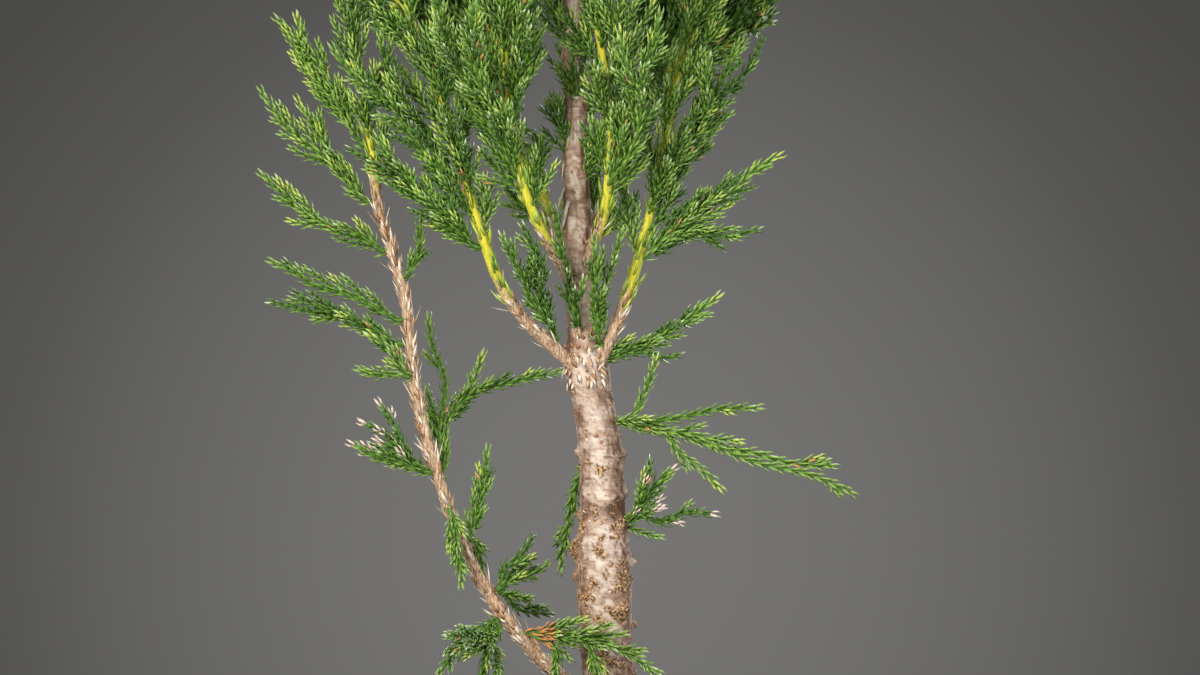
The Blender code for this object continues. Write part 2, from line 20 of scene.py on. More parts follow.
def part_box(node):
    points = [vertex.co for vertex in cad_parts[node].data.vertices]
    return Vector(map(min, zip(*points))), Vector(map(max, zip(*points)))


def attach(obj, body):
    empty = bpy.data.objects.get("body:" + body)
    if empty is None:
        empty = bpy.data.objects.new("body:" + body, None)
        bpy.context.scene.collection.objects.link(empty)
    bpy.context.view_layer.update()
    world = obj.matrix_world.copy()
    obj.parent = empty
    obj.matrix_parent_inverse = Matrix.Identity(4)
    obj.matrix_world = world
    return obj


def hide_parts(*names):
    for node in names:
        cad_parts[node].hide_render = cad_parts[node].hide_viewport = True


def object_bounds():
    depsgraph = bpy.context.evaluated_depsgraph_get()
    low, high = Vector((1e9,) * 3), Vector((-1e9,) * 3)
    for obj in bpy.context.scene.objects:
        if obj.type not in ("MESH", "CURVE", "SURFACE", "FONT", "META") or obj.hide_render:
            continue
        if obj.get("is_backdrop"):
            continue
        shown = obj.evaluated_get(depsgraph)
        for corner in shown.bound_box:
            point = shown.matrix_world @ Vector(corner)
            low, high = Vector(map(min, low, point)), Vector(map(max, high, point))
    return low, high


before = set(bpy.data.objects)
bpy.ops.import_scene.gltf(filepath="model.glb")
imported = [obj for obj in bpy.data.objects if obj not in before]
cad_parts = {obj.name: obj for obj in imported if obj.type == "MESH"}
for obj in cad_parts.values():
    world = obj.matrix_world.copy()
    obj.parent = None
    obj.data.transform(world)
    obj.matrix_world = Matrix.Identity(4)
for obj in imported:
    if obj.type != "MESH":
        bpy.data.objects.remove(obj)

MM = 0.001
UP = np.array([0.0, 0.0, 1.0])
FRONT = np.array([0.0, -1.0, 0.0])
rng = random.Random(417)
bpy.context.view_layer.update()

# %% [markdown]
# A few habits keep the rest short. Colours are written as sRGB hex values, as a colour card
# gives them, and one function turns them linear. One function adds a shader node and its links,
# and one gives a finished piece its body and hides the solids that it replaces.

# %% Colours, shader nodes and finished pieces


def linear(code):
    """An sRGB hex colour as linear red, green, blue and alpha."""
    channels = [int(code[i:i + 2], 16) / 255 for i in (1, 3, 5)]
    return (*[c / 12.92 if c <= 0.04045 else ((c + 0.055) / 1.055) ** 2.4 for c in channels], 1.0)


def add(tree, kind, sockets, **settings):
    """A node of any kind: its settings, and its sockets given a value or another node's output."""
    made = tree.nodes.new(kind)
    for name, value in settings.items():
        setattr(made, name, value)
    for name, value in sockets.items():
        if isinstance(value, bpy.types.NodeSocket):
            tree.links.new(value, made.inputs[name])
        else:
            made.inputs[name].default_value = value
    return made


def ramp(tree, factor, *stops):
    """A colour ramp through (place, hex colour) stops."""
    made = add(tree, "ShaderNodeValToRGB", {"Fac": factor})
    while len(made.color_ramp.elements) < len(stops):
        made.color_ramp.elements.new(0.5)
    for element, (place, code) in zip(made.color_ramp.elements, stops):
        element.position = place
        element.color = linear(code)
    return made.outputs["Color"]


def finish_of(name, colour, roughness, specular=0.5):
    """A new material with its shader, base colour, roughness and gloss."""
    material = bpy.data.materials.new(name)
    material.use_nodes = True
    shader = material.node_tree.nodes["Principled BSDF"]
    shader.inputs["Base Color"].default_value = linear(colour)
    shader.inputs["Roughness"].default_value = roughness
    shader.inputs["Specular IOR Level"].default_value = specular
    return material, material.node_tree, shader


def finishes_of(colours, roughness, specular):
    """Plain finishes, one for each named colour."""
    return [finish_of(name, colour, roughness, specular)[0] for name, colour in colours.items()]


def clamp(value):
    return min(1.0, max(0.0, value))


def object_of(name, bm, *finishes, smooth=True):
    """A bmesh as a new object with its finishes."""
    mesh = bpy.data.meshes.new(name)
    bm.to_mesh(mesh)
    bm.free()
    if smooth:
        mesh.shade_smooth()
    for finish in finishes:
        mesh.materials.append(finish)
    made = bpy.data.objects.new(name, mesh)
    bpy.context.scene.collection.objects.link(made)
    return made


def finished(piece, slot, *solids):
    """Seat a piece on the plant's one body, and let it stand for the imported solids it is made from."""
    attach(piece, "root")
    if solids:
        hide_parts(*solids)
    print(piece.name, len(piece.data.polygons), "faces for", len(solids), "solids")


# %% [markdown]
# The limbs are read from the frame. A plane across a limb cuts its mesh in a ring; the ring's
# middle is on the limb's centre line, and its mean distance from there is the radius.

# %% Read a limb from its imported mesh
MERGE = 0.000002
LIMB_STEP = 0.002
LIMB_FINE = 0.0005
TRUNK_REACH = 0.020
BOUGH_REACH = 0.004
THIN_END = 0.001
Limb = namedtuple("Limb", "places radii")


def merged(name):
    """A copy of a CAD node with its loose triangles joined: points, faces and a search tree."""
    bm = bmesh.new()
    bm.from_mesh(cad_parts[name].data)
    bmesh.ops.remove_doubles(bm, verts=bm.verts, dist=MERGE)
    bm.verts.index_update()
    points = np.array([vert.co[:] for vert in bm.verts])
    faces = np.array([[vert.index for vert in face.verts] for face in bm.faces])
    tree = BVHTree.FromBMesh(bm)
    bm.free()
    return points, faces, tree


def edges_of(faces):
    pairs = np.concatenate([faces[:, [0, 1]], faces[:, [1, 2]], faces[:, [2, 0]]])
    return np.unique(np.sort(pairs, axis=1), axis=0)


def ring(points, edges, place, normal, near):
    """Where a plane cuts the edges, close to a place."""
    side = (points - place) @ normal
    a, b = edges.T
    cut = side[a] * side[b] < 0
    share = side[a][cut] / (side[a][cut] - side[b][cut])
    found = points[a][cut] + share[:, None] * (points[b][cut] - points[a][cut])
    return found[np.linalg.norm(found - place, axis=1) < near]


def unit(vectors):
    length = np.linalg.norm(vectors, axis=-1, keepdims=True)
    return vectors / np.maximum(length, 1e-12)


def tangents(places):
    return unit(np.gradient(places, axis=0))


def gone_along(places):
    """How far along a polyline each of its points is."""
    return np.concatenate([[0.0], np.cumsum(np.linalg.norm(np.diff(places, axis=0), axis=1))])


def columns_at(at, known, places):
    """Points read off a polyline where a known value takes the given ones."""
    return np.stack([np.interp(at, known, places[:, k]) for k in range(3)], axis=-1)


def resampled(places, step):
    """A polyline with even steps, and the distance of each new point along it."""
    gone = gone_along(places)
    count = max(2, int(round(gone[-1] / step)) + 1)
    at = np.linspace(0.0, gone[-1], count)
    return columns_at(at, gone, places), at


def read_limb(name):
    points, faces, _ = merged(name)
    edges = edges_of(faces)
    low, high = points[:, 2].min(), points[:, 2].max()
    centres = []
    for height in np.arange(low + 0.0002, high, LIMB_STEP):
        found = ring(points, edges, np.array([0.0, 0.0, height]), UP, 1.0)
        if len(found) > 3:
            centres.append((found.min(axis=0) + found.max(axis=0)) / 2)
    centres = np.array(centres)
    reach = TRUNK_REACH if name == "trunk" else BOUGH_REACH
    radii = []
    for place, along in zip(centres, tangents(centres)):
        found = ring(points, edges, place, along, reach)
        radii.append(np.median(np.linalg.norm(found - place, axis=1)) if len(found) > 3 else THIN_END)
    radii = np.array(radii)
    for _ in range(2):
        radii[1:-1] = (radii[:-2] + radii[1:-1] + radii[2:]) / 3
    return Limb(centres, radii)


def rooted(limb):
    """A bough drawn on into the trunk, whose middle it starts from."""
    start = limb.places[2]
    away = unit(limb.places[5] - start)
    middle = columns_at(start[2], trunk.places[:, 2], trunk.places)
    root = start - away * np.linalg.norm(start[:2] - middle[:2])
    return Limb(np.vstack([root, limb.places[2:]]), np.concatenate([[limb.radii[3]], limb.radii[2:]]))


limb_names = [name for name in sorted(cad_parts) if name == "trunk" or name.startswith("bough")]
trunk = read_limb("trunk")
limbs = {name: trunk if name == "trunk" else rooted(read_limb(name)) for name in limb_names}
for name, limb in limbs.items():
    low, high = limb.radii[0] / MM, limb.radii[-1] / MM
    print(name, len(limb.places), "rings, radius", round(low, 2), "to", round(high, 2), "mm")

# %% [markdown]
# A mass of foliage is a lumpy solid with one or more fingers. The twigs inside it should run
# from its seat on the limb to the tip of every finger, so those lines are worked out from the
# solid: the distance over its skin from the seat has a peak at each tip.

# %% Find the fingers of a mass
# The limb nearest to a mass carries it, but for two in the crowded whorl
CARRIERS = {"inner_left_2": "trunk", "inner_right": "bough_whorl_right"}
SEAT_SLACK = 0.0018
TIP_PROMINENCE = 0.0035
AXIS_STEP = 0.001
UNDER_SKIN = 0.0002

Mass = namedtuple("Mass", "name seat seat_radius axes tree width")


def limb_distance(limb, points):
    """How far points lie off a limb's skin, and which of its stations is nearest."""
    off = np.linalg.norm(points[:, None, :] - limb.places[None, :, :], axis=2) - limb.radii[None, :]
    return off.min(axis=1), off.argmin(axis=1)


def skin_distances(points, edges, root):
    """The shortest way over a mesh's edges from one vertex to all, with the way back."""
    links = [[] for _ in points]
    spans = np.linalg.norm(points[edges[:, 0]] - points[edges[:, 1]], axis=1)
    for (a, b), length in zip(edges, spans):
        links[a].append((b, length))
        links[b].append((a, length))
    distance = np.full(len(points), np.inf)
    back = np.full(len(points), -1)
    distance[root] = 0.0
    queue = [(0.0, root)]
    while queue:
        gone, here = heapq.heappop(queue)
        if gone > distance[here]:
            continue
        for there, length in links[here]:
            if gone + length < distance[there]:
                distance[there] = gone + length
                back[there] = here
                heapq.heappush(queue, (distance[there], there))
    return distance, back, links


def peaks(distance, links, prominence):
    """Vertices that are far from the root and stand clear of their surroundings."""
    group = {}
    top = {}
    kept = []

    def leader(v):
        while group[v] != v:
            group[v] = group[group[v]]
            v = group[v]
        return v

    for v in np.argsort(-distance):
        v = int(v)
        if not np.isfinite(distance[v]):
            continue
        group[v] = v
        top[v] = v
        for other, _ in links[v]:
            if other in group:
                a, b = leader(v), leader(other)
                if a == b:
                    continue
                high, low = (a, b) if distance[top[a]] >= distance[top[b]] else (b, a)
                if distance[top[low]] - distance[v] > prominence:
                    kept.append(top[low])
                group[low] = high
    kept.append(int(np.argmax(np.where(np.isfinite(distance), distance, -1))))
    return sorted(set(kept), key=lambda v: -distance[v])


def middle_line(points, way, tree):
    """A way over the skin moved to the middle of the solid, and smoothed."""
    line = points[way]
    if len(line) > 2:
        along = tangents(line)
    else:
        along = np.repeat(unit(line[-1:] - line[:1]), len(line), axis=0)
    moved = [line[0]]
    for place, way_on in zip(line[1:-1], along[1:-1]):
        _, normal, _, _ = tree.find_nearest(Vector(place))
        inward = -np.array(normal)
        inward = unit(inward - way_on * (inward @ way_on))
        hit, _, _, _ = tree.ray_cast(Vector(place + inward * UNDER_SKIN), Vector(inward))
        moved.append(place if hit is None else (place + np.array(hit)) / 2)
    moved.append(line[-1])
    moved, _ = resampled(np.array(moved), AXIS_STEP)
    for _ in range(4 + len(moved) // 3):
        moved[1:-1] = (moved[:-2] + 2 * moved[1:-1] + moved[2:]) / 4
    return moved


def read_mass(name):
    points, faces, tree = merged(name)
    edges = edges_of(faces)
    nearest = min(limbs, key=lambda key: limb_distance(limbs[key], points)[0].min())
    limb = limbs[CARRIERS.get(name, nearest)]
    off, station = limb_distance(limb, points)
    seated = np.flatnonzero(off < off.min() + SEAT_SLACK)
    centre = points.mean(axis=0)
    root = int(seated[np.argmax(np.linalg.norm(points[seated] - centre, axis=1))])
    seat = limb.places[station[root]]
    distance, back, links = skin_distances(points, edges, root)
    axes = []
    for tip in peaks(distance, links, TIP_PROMINENCE):
        way = [tip]
        while way[-1] != root:
            way.append(int(back[way[-1]]))
        line = middle_line(points, way[::-1], tree)
        axes.append(resampled(np.vstack([seat, line]), AXIS_STEP)[0])
    inside = axes[0][len(axes[0]) // 3: -len(axes[0]) // 4]
    width = np.mean([np.linalg.norm(points - place, axis=1).min() for place in inside])
    return Mass(name, seat, limb.radii[station[root]], axes, tree, float(width))


no_mass = {*limbs, "pot", "soil"}
mass_names = [name for name in sorted(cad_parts) if name not in no_mass]
masses = [read_mass(name) for name in mass_names]
for mass in masses:
    print(mass.name, len(mass.axes), "fingers, half width", round(mass.width / MM, 1), "mm")

# %% [markdown]
# Shoots grow by one rule. A finger's line is a main shoot. Side shoots leave it in opposite
# pairs, each pair turned from the last, lean forward and curve up to it. A ray cast inside the
# mass says how long each may be, so the crown keeps its outline and its gaps. The long ones of
# a plume bear shoots of their own.

# %% Grow shoots
Shoot = namedtuple("Shoot", "places thick thin order mass fine")
FRAME_TOP = 0.362
FINE_FROM = 0.180
LEAN = math.radians(34)
CURVE_UP = 0.30
SIDE_SPACING = 0.0031
PLUME_SPACING = 0.0036
LONGEST_SIDE = 0.0095
LONGEST_PLUME_SIDE = 0.034
BEARS_SIDES = 0.0105
SHORTEST = 0.0022
TIP_CLEAR = 0.0012
PLUME_WIDTH = 0.0055
SHOOT_STEP = 0.0016
MISSING = 0.07
THICK_SHARE = 0.62
SIDE_THICK = 0.00028
TIP_THICK = 0.00022


def across(along, turn):
    """A direction square to a shoot, turned round it from the front."""
    side = unit(np.cross(along, FRONT + along[[1, 2, 0]] * 0.01))
    through = np.cross(side, along)
    return math.cos(turn) * side + math.sin(turn) * through


def side_shoot(start, along, turn, lean, length, curve):
    """A side shoot that leaves at a lean and curves back towards its parent's direction."""
    out = math.cos(lean) * along + math.sin(lean) * across(along, turn)
    steps = np.linspace(0.0, 1.0, max(4, int(length / SHOOT_STEP)))[:, None]
    return start + length * (steps * out + steps**2 * curve * (along - out * (out @ along)))


def room(tree, start, out, most):
    """How far a side shoot may run before it leaves the mass; a spray outside one has no skin."""
    if tree is None:
        return most
    hit = tree.ray_cast(Vector(start), Vector(out), most)
    return most if hit[0] is None else hit[3]


def side_shoots(parent, mass, order, spacing, first, longest, overshoot):
    """The side shoots of one shoot, by the growing rule."""
    line, at = resampled(parent.places, AXIS_STEP)
    along = tangents(line)
    total = at[-1]
    grown = []
    place = first
    pair = rng.randrange(4)
    flat = mass.width < PLUME_WIDTH or order > 1
    while place < total - TIP_CLEAR:
        i = min(len(line) - 1, int(place / AXIS_STEP))
        pair += 1
        base = 0.0 if flat and pair % 3 else math.pi / 2
        if not flat:
            base = pair * math.radians(68)
        for side in (0.0, math.pi):
            lean = LEAN * rng.uniform(0.8, 1.15)
            turn = base + side + rng.uniform(-0.35, 0.35)
            out = math.cos(lean) * along[i] + math.sin(lean) * across(along[i], turn)
            young = (total - place) / total
            most = longest * min(1.0, 0.30 + 1.1 * young) * rng.uniform(0.75, 1.1)
            length = min(most, room(mass.tree, line[i], out, most) * overshoot)
            if length < SHORTEST or rng.random() < MISSING:
                continue
            way = side_shoot(line[i], along[i], turn, lean, length, CURVE_UP)
            thick = max(parent.thick * THICK_SHARE, SIDE_THICK)
            grown.append(Shoot(way, thick, TIP_THICK, order, mass.name, parent.fine))
        place += spacing * rng.uniform(0.8, 1.25)
    return grown


# Cord-like sprays keep only this share of their side shoots
CORDS = {"trunk_spray_2": 0.25, "trunk_spray_3": 0.45, "trunk_spray_4": 0.5, "low_spray_6": 0.45,
         "low_spray_5": 0.3, "trunk_spray_1": 0.75}
BEHIND = ("back_left_top", "back_right_top")
SHARED_LINE = 0.15
SEAT_SHARE = 0.85
PLUME_THICK = 0.00095
SPRAY_THICK = 0.00062
shoots = []
for mass in masses:
    plume = mass.width >= PLUME_WIDTH
    mains = []
    for number, axis in enumerate(mass.axes):
        fine = FINE_FROM < axis[0][2] < FRAME_TOP and mass.name not in BEHIND
        keep = 0 if number == 0 else int(len(axis) * SHARED_LINE)
        thick = min(SEAT_SHARE * mass.seat_radius, PLUME_THICK if plume else SPRAY_THICK)
        mains.append(Shoot(axis[keep:], thick, 0.00035, 0, mass.name, fine))
    sides = []
    for main in mains:
        if plume:
            sides += side_shoots(main, mass, 1, PLUME_SPACING, 0.006, LONGEST_PLUME_SIDE, 1.0)
        else:
            share = CORDS.get(mass.name, 1.0)
            grown = side_shoots(main, mass, 1, SIDE_SPACING, 0.004, LONGEST_SIDE, 1.15)
            sides += [shoot for shoot in grown if rng.random() < share]
    small = []
    for side in sides:
        if len(side.places) * SHOOT_STEP > BEARS_SIDES:
            small += side_shoots(side, mass, 2, SIDE_SPACING * 1.1, 0.0035, LONGEST_SIDE * 0.8, 1.1)
    shoots += mains + sides + small

# Sprays in the axils of the young stretches, too small for solids of their own: the limb, lowest
# and highest place, spacing and longest shoot in mm, and the bearings that they face in turn
Axils = namedtuple("Axils", "limb low high spacing longest turns")
ALL_ROUND = (20, 155, 290, 65, 200, 335, 110, 245)
AXILS = (
    Axils("bough_low_left", 308, 322, 6.0, 12, (20, 100)),
    Axils("bough_whorl_left", 292, 344, 5.0, 17, (15, 160, 60, 100)),
    Axils("bough_upper_left", 297, 343, 4.6, 16, (10, 170, 75, 130, 40)),
    Axils("bough_upper_right", 300, 342, 4.6, 16, (10, 170, 75, 130, 40)),
    Axils("bough_whorl_right", 288, 343, 5.0, 16, (165, 20, 100, 60)),
    Axils("bough_back_left", 290, 310, 5.0, 16, (0, 180, 270)),
    Axils("bough_back_right", 292, 315, 5.0, 16, (0, 180, 270)),
    Axils("trunk", 303, 372, 4.5, 17, (40, 140, 200, 340, 90, 250)),
    Axils("trunk", 374, 470, 2.6, 34, ALL_ROUND),
    Axils("trunk", 470, 545, 2.8, 26, ALL_ROUND),
    Axils("trunk", 545, 605, 3.0, 17, ALL_ROUND),
)


def axil_sprays(axils):
    """Small sprays along a limb, each a shoot with side shoots in one plane."""
    limb = limbs[axils.limb]
    line, _ = resampled(limb.places, AXIS_STEP)
    along = tangents(line)
    loose = Mass(axils.limb, None, 0.0, [], None, 0.0)
    grown = []
    height = axils.low * MM
    number = 0
    while height < axils.high * MM:
        i = int(np.argmin(np.abs(line[:, 2] - height)))
        turn = math.radians(axils.turns[number % len(axils.turns)] + rng.uniform(-14, 14))
        length = axils.longest * MM * rng.uniform(0.7, 1.1)
        way = side_shoot(line[i], along[i], turn, math.radians(rng.uniform(30, 40)), length, 0.35)
        main = Shoot(way, 0.0005, 0.0003, 1, axils.limb, line[i][2] < FRAME_TOP)
        grown.append(main)
        longest = max(LONGEST_SIDE * 0.75, length * 0.42)
        grown += side_shoots(main, loose, 2, SIDE_SPACING * 0.9, 0.0045, longest, 1.0)
        height += axils.spacing * MM * rng.uniform(0.8, 1.2)
        number += 1
    return grown


for axils in AXILS:
    shoots += axil_sprays(axils)

# The trunk stays in view above the whorl: few side shoots cross in front of it there
CLEAR_LOW = 266 * MM
CLEAR_HIGH = 298 * MM
CLEAR_HALF = 3.4 * MM
CROSSING_SHARE = 0.12


def crosses(shoot):
    """Whether a side shoot passes in front of the clear stretch of trunk."""
    middle = shoot.places[len(shoot.places) // 2]
    at = trunk.places[int(np.argmin(np.abs(trunk.places[:, 2] - middle[2])))]
    facing = middle[1] < at[1] and abs(middle[0] - at[0]) < CLEAR_HALF
    return shoot.order > 0 and facing and CLEAR_LOW < middle[2] < CLEAR_HIGH


shoots = [shoot for shoot in shoots if not crosses(shoot) or rng.random() < CROSSING_SHARE]
print(len(shoots), "shoots,", round(sum(gone_along(shoot.places)[-1] for shoot in shoots), 1), "m in all")

# %% [markdown]
# A juvenile juniper needle is an awl: flat and waxy white on its inner face, keeled and green
# outside, about 2.5 mm long. Near the camera a needle is a three-sided awl of ten triangles
# with a bend in it; in the upper crown it has four, and is a little larger than life.

# %% Needle shapes and tints
# Columns are the needle's side, its keel and its length
FINE_AWL = np.array([
    (-1.0, 0.0, 0.0), (1.0, 0.0, 0.0), (0.0, 1.1, 0.0),
    (-0.8, 0.55, 0.5), (0.8, 0.55, 0.5), (0.0, 1.5, 0.5),
    (0.0, 0.45, 1.0),
])
FINE_INNER = ((0, 1, 4, 3), (3, 4, 6))
FINE_OUTER = ((1, 2, 5, 4), (2, 0, 3, 5), (4, 5, 6), (5, 3, 6), (0, 2, 1))
PLAIN_AWL = np.array([(-1.0, 0.0, 0.0), (1.0, 0.0, 0.0), (0.0, 1.4, 0.0), (0.0, 0.6, 1.0)])
PLAIN_INNER = ((0, 1, 3),)
PLAIN_OUTER = ((1, 2, 3), (2, 0, 3), (0, 2, 1))
TEMPLATES = {True: (FINE_AWL, FINE_INNER, FINE_OUTER), False: (PLAIN_AWL, PLAIN_INNER, PLAIN_OUTER)}

NEEDLES = {
    "needle_deep": ("#4a7024", 0.40),
    "needle_green": ("#668d2e", 0.38),
    "needle_light": ("#86ab4a", 0.38),
    "needle_fresh": ("#b4cb58", 0.42),
    "needle_stem": ("#a3b43c", 0.42),
    "needle_waxy": ("#98b67c", 0.45),
    "needle_frost": ("#cadcb2", 0.50),
    "needle_dry": ("#cf9358", 0.60),
    "needle_brown": ("#9a6a3e", 0.60),
    "needle_pale": ("#e8d3c4", 0.60),
}
# Fresh or dried juniper needle, a waxy skin: soft gloss along the keel
needle_finishes = [finish_of(name, colour, rough, 0.42)[0] for name, (colour, rough) in NEEDLES.items()]
SLOT = {name.removeprefix("needle_"): i for i, name in enumerate(NEEDLES)}
IN_WHORL = 3
STAGGER = math.pi / IN_WHORL
FIRST_NEEDLE = 0.0006
TIP_ZONE = 0.0022
CLOSING = 0.003

Needle = namedtuple("Needle", "spacing length width lean")
MAIN_NEEDLE = Needle(0.0017, 0.0029, 0.00036, math.radians(18))
SIDE_NEEDLE = Needle(0.0012, 0.0023, 0.00034, math.radians(25))


def coarse(needle):
    """A needle of the upper crown, a little larger and wider apart."""
    return Needle(needle.spacing * 1.75, needle.length * 1.25, needle.width * 1.6, needle.lean)


def frames_along(line):
    """Tangents of a shoot and two directions square to them."""
    along = tangents(line)
    ref = across(along[len(along) // 2], 0.0)
    side = unit(ref - along * (along @ ref)[:, None])
    return along, side, np.cross(along, side)


def needles_on(shoot, needle, outer):
    """Whorls of needles on a shoot; near its tip they close up and shorten."""
    line, at = resampled(shoot.places, needle.spacing)
    keep = at >= FIRST_NEEDLE
    if not keep.any():
        return None
    line, along, side, through, at = (part[keep] for part in (line, *frames_along(line), at))
    to_tip = at[-1] - at
    whorl = np.repeat(np.arange(len(line)), IN_WHORL)
    which = np.tile(np.arange(IN_WHORL), len(line))
    jitter = np.array([rng.uniform(-1, 1) for _ in range(4 * len(whorl))]).reshape(4, -1)
    turn = STAGGER * whorl + 2 * math.pi * which / IN_WHORL + 0.15 * jitter[0]
    out = np.cos(turn)[:, None] * side[whorl] + np.sin(turn)[:, None] * through[whorl]
    closing = np.clip(to_tip[whorl] / CLOSING, 0.35, 1.0)
    angle = needle.lean * closing * (1 + 0.108 * jitter[1])
    direction = np.cos(angle)[:, None] * along[whorl] + np.sin(angle)[:, None] * out
    thick = np.interp(at, [0, max(at[-1], 1e-6)], [shoot.thick, shoot.thin])[whorl]
    place = line[whorl] + out * (thick * 0.7)[:, None]
    length = needle.length * (0.72 + 0.28 * closing) * (1 + 0.072 * jitter[2])
    width = needle.width * (1 + 0.06 * jitter[3])
    outer = np.full(len(whorl), outer)
    inner = np.full(len(whorl), SLOT["waxy"])
    return place, unit(direction), out, length, width, outer, inner, to_tip[whorl] < TIP_ZONE


# %% [markdown]
# Tints are dealt out by spray and by shoot: each mass has its own lean towards deep or light
# green, the inner masses and those at the back deeper as painted shade, shoot tips are lighter, their inner
# faces frosted, and a few needles have dried orange.
# Two sprays end in pale dry tips, and one has died back where it leaves its bough.

# %% Dress every shoot in needles
DRY_TIPPED = ("low_spray_4", "trunk_spray_3")
# Inner masses and those at the back lean to deep green: painted shade
SHADE_DEEPENED_MASSES = ("inner_left_1", "inner_left_2", "inner_right", "back_left_top", "back_right_top")
LIGHT_MASSES = ("trunk_spray_2", "skirt_left", "skirt_right", "low_fan_1", "low_fan_2", "low_fan_3")
DRY_SHARE = 0.006
DRY_TIPPED_SHARE = 0.6
DRY_TIP = 0.0016
DIED_BACK = "skirt_right"
DIED_BACK_LENGTH = 0.0085
YELLOW_THICK = 0.0007
seats = {mass.name: mass.seat for mass in masses}
batches = {}
for shoot in shoots:
    tint = rng.random() - 0.3 * (shoot.mass in SHADE_DEEPENED_MASSES) + 0.3 * (shoot.mass in LIGHT_MASSES)
    outer = SLOT["deep"] if tint < 0.30 else SLOT["green"] if tint < 0.78 else SLOT["light"]
    if shoot.order == 0 and shoot.thick > YELLOW_THICK:
        outer = SLOT["stem"]
    needle = MAIN_NEEDLE if shoot.order == 0 else SIDE_NEEDLE
    made = needles_on(shoot, needle if shoot.fine else coarse(needle), outer)
    if made is None:
        continue
    *shape, outer_slots, inner_slots, near_tip = made
    place = shape[0]
    outer_slots[near_tip & (outer_slots != SLOT["deep"])] = SLOT["fresh"] if tint > 0.86 else SLOT["light"]
    inner_slots[near_tip] = SLOT["frost"]
    dry = np.array([rng.random() < DRY_SHARE for _ in place])
    changes = [(dry, "dry", "dry")]
    if shoot.mass in DRY_TIPPED and rng.random() < DRY_TIPPED_SHARE:
        at_tip = np.linalg.norm(place - shoot.places[-1], axis=1) < DRY_TIP
        changes.append((at_tip, "pale", "pale"))
    if shoot.mass == DIED_BACK:
        at_seat = np.linalg.norm(place - seats[DIED_BACK], axis=1) < DIED_BACK_LENGTH
        changes.append((at_seat, "dry", "brown"))
    for chosen, outer, inner in changes:
        outer_slots[chosen] = SLOT[outer]
        inner_slots[chosen] = SLOT[inner]
    batches.setdefault(shoot.mass, []).append((*shape, outer_slots, inner_slots, shoot.fine))

# %% [markdown]
# Thousands of needles go into one mesh at a time, as arrays: a template's corners are placed
# for every needle at once. A new mesh is begun where the next mass would take one past 190,000 triangles.
# A mesh ends before it reaches the size where it would be thinned.

# %% Join needles into pieces
PIECE_TRIANGLES = 190_000
TRIANGLES = {True: 10, False: 4}


def joined(name, points, faces, slots, finishes):
    """One mesh object from arrays of points, a list of face arrays and their material slots."""
    mesh = bpy.data.meshes.new(name)
    corners = np.concatenate([group.reshape(-1) for group in faces]).astype(np.int32)
    sizes = np.concatenate([np.full(len(group), group.shape[1]) for group in faces])
    starts = np.concatenate([[0], np.cumsum(sizes)[:-1]]).astype(np.int32)
    mesh.vertices.add(len(points))
    mesh.vertices.foreach_set("co", points.astype(np.float32).reshape(-1))
    mesh.loops.add(len(corners))
    mesh.loops.foreach_set("vertex_index", corners)
    mesh.polygons.add(len(sizes))
    mesh.polygons.foreach_set("loop_start", starts)
    mesh.polygons.foreach_set("material_index", np.concatenate(slots).astype(np.int32))
    mesh.update(calc_edges=True)
    mesh.validate()
    for finish in finishes:
        mesh.materials.append(finish)
    made = bpy.data.objects.new(name, mesh)
    bpy.context.scene.collection.objects.link(made)
    return made


def placed(template, place, direction, out, length, width):
    """A template's corners for every needle: side and keel by its width, length by its length."""
    side = unit(np.cross(direction, out))
    keel = np.cross(side, direction)
    keel = np.where((np.einsum("ij,ij->i", keel, out) < 0)[:, None], -keel, keel)
    axes = np.stack([side * width[:, None], keel * width[:, None], direction * length[:, None]], axis=1)
    return place[:, None, :] + np.einsum("ck,nkj->ncj", template, axes)


def needle_arrays(rows, template, inner_faces, outer_faces, base=0):
    """Needles of one template as points, faces and slots, numbered from a base."""
    *shape, outer, inner = [np.concatenate([row[k] for row in rows]) for k in range(7)]
    corners = placed(template, *shape)
    first = np.arange(len(corners))[:, None] * len(template) + base
    faces = [first + np.array(face)[None, :] for face in inner_faces + outer_faces]
    return corners.reshape(-1, 3), faces, [inner] * len(inner_faces) + [outer] * len(outer_faces)


def needle_mesh(name, rows):
    """The needles of several masses, near and coarse ones, as one mesh."""
    points, faces, slots = [], [], []
    for fine, template in TEMPLATES.items():
        chosen = [row for row in rows if row[7] == fine]
        if chosen:
            made = needle_arrays(chosen, *template, sum(len(group) for group in points))
            points.append(made[0])
            faces += made[1]
            slots += made[2]
    return joined(name, np.concatenate(points), faces, slots, needle_finishes)


groups = [[]]
room_left = PIECE_TRIANGLES
for name, rows in batches.items():
    need = sum(len(row[3]) * TRIANGLES[row[7]] for row in rows)
    if need > room_left:
        groups.append([])
        room_left = PIECE_TRIANGLES
    groups[-1].append(name)
    room_left -= need
for number, names in enumerate(groups, 1):
    needles = needle_mesh(f"needles_{number}", [row for name in names for row in batches[name]])
    finished(needles, "foliage", *[name for name in names if name in mass_names])

# %% [markdown]
# Twigs are thin tubes of three or four sides along each shoot. The thick main shoots are
# yellow-green and show between the needles; the rest are clothed in needle bases and so green.

# %% Twigs
TWIGS = {"twig_yellow": "#b3b23c", "twig_green": "#58802f"}
# Young juniper twig, smooth green or yellow bark: softly shining
twig_finishes = finishes_of(TWIGS, 0.5, 0.5)
FINE_TWIG_STEP = 0.0025
COARSE_TWIG_STEP = 0.005


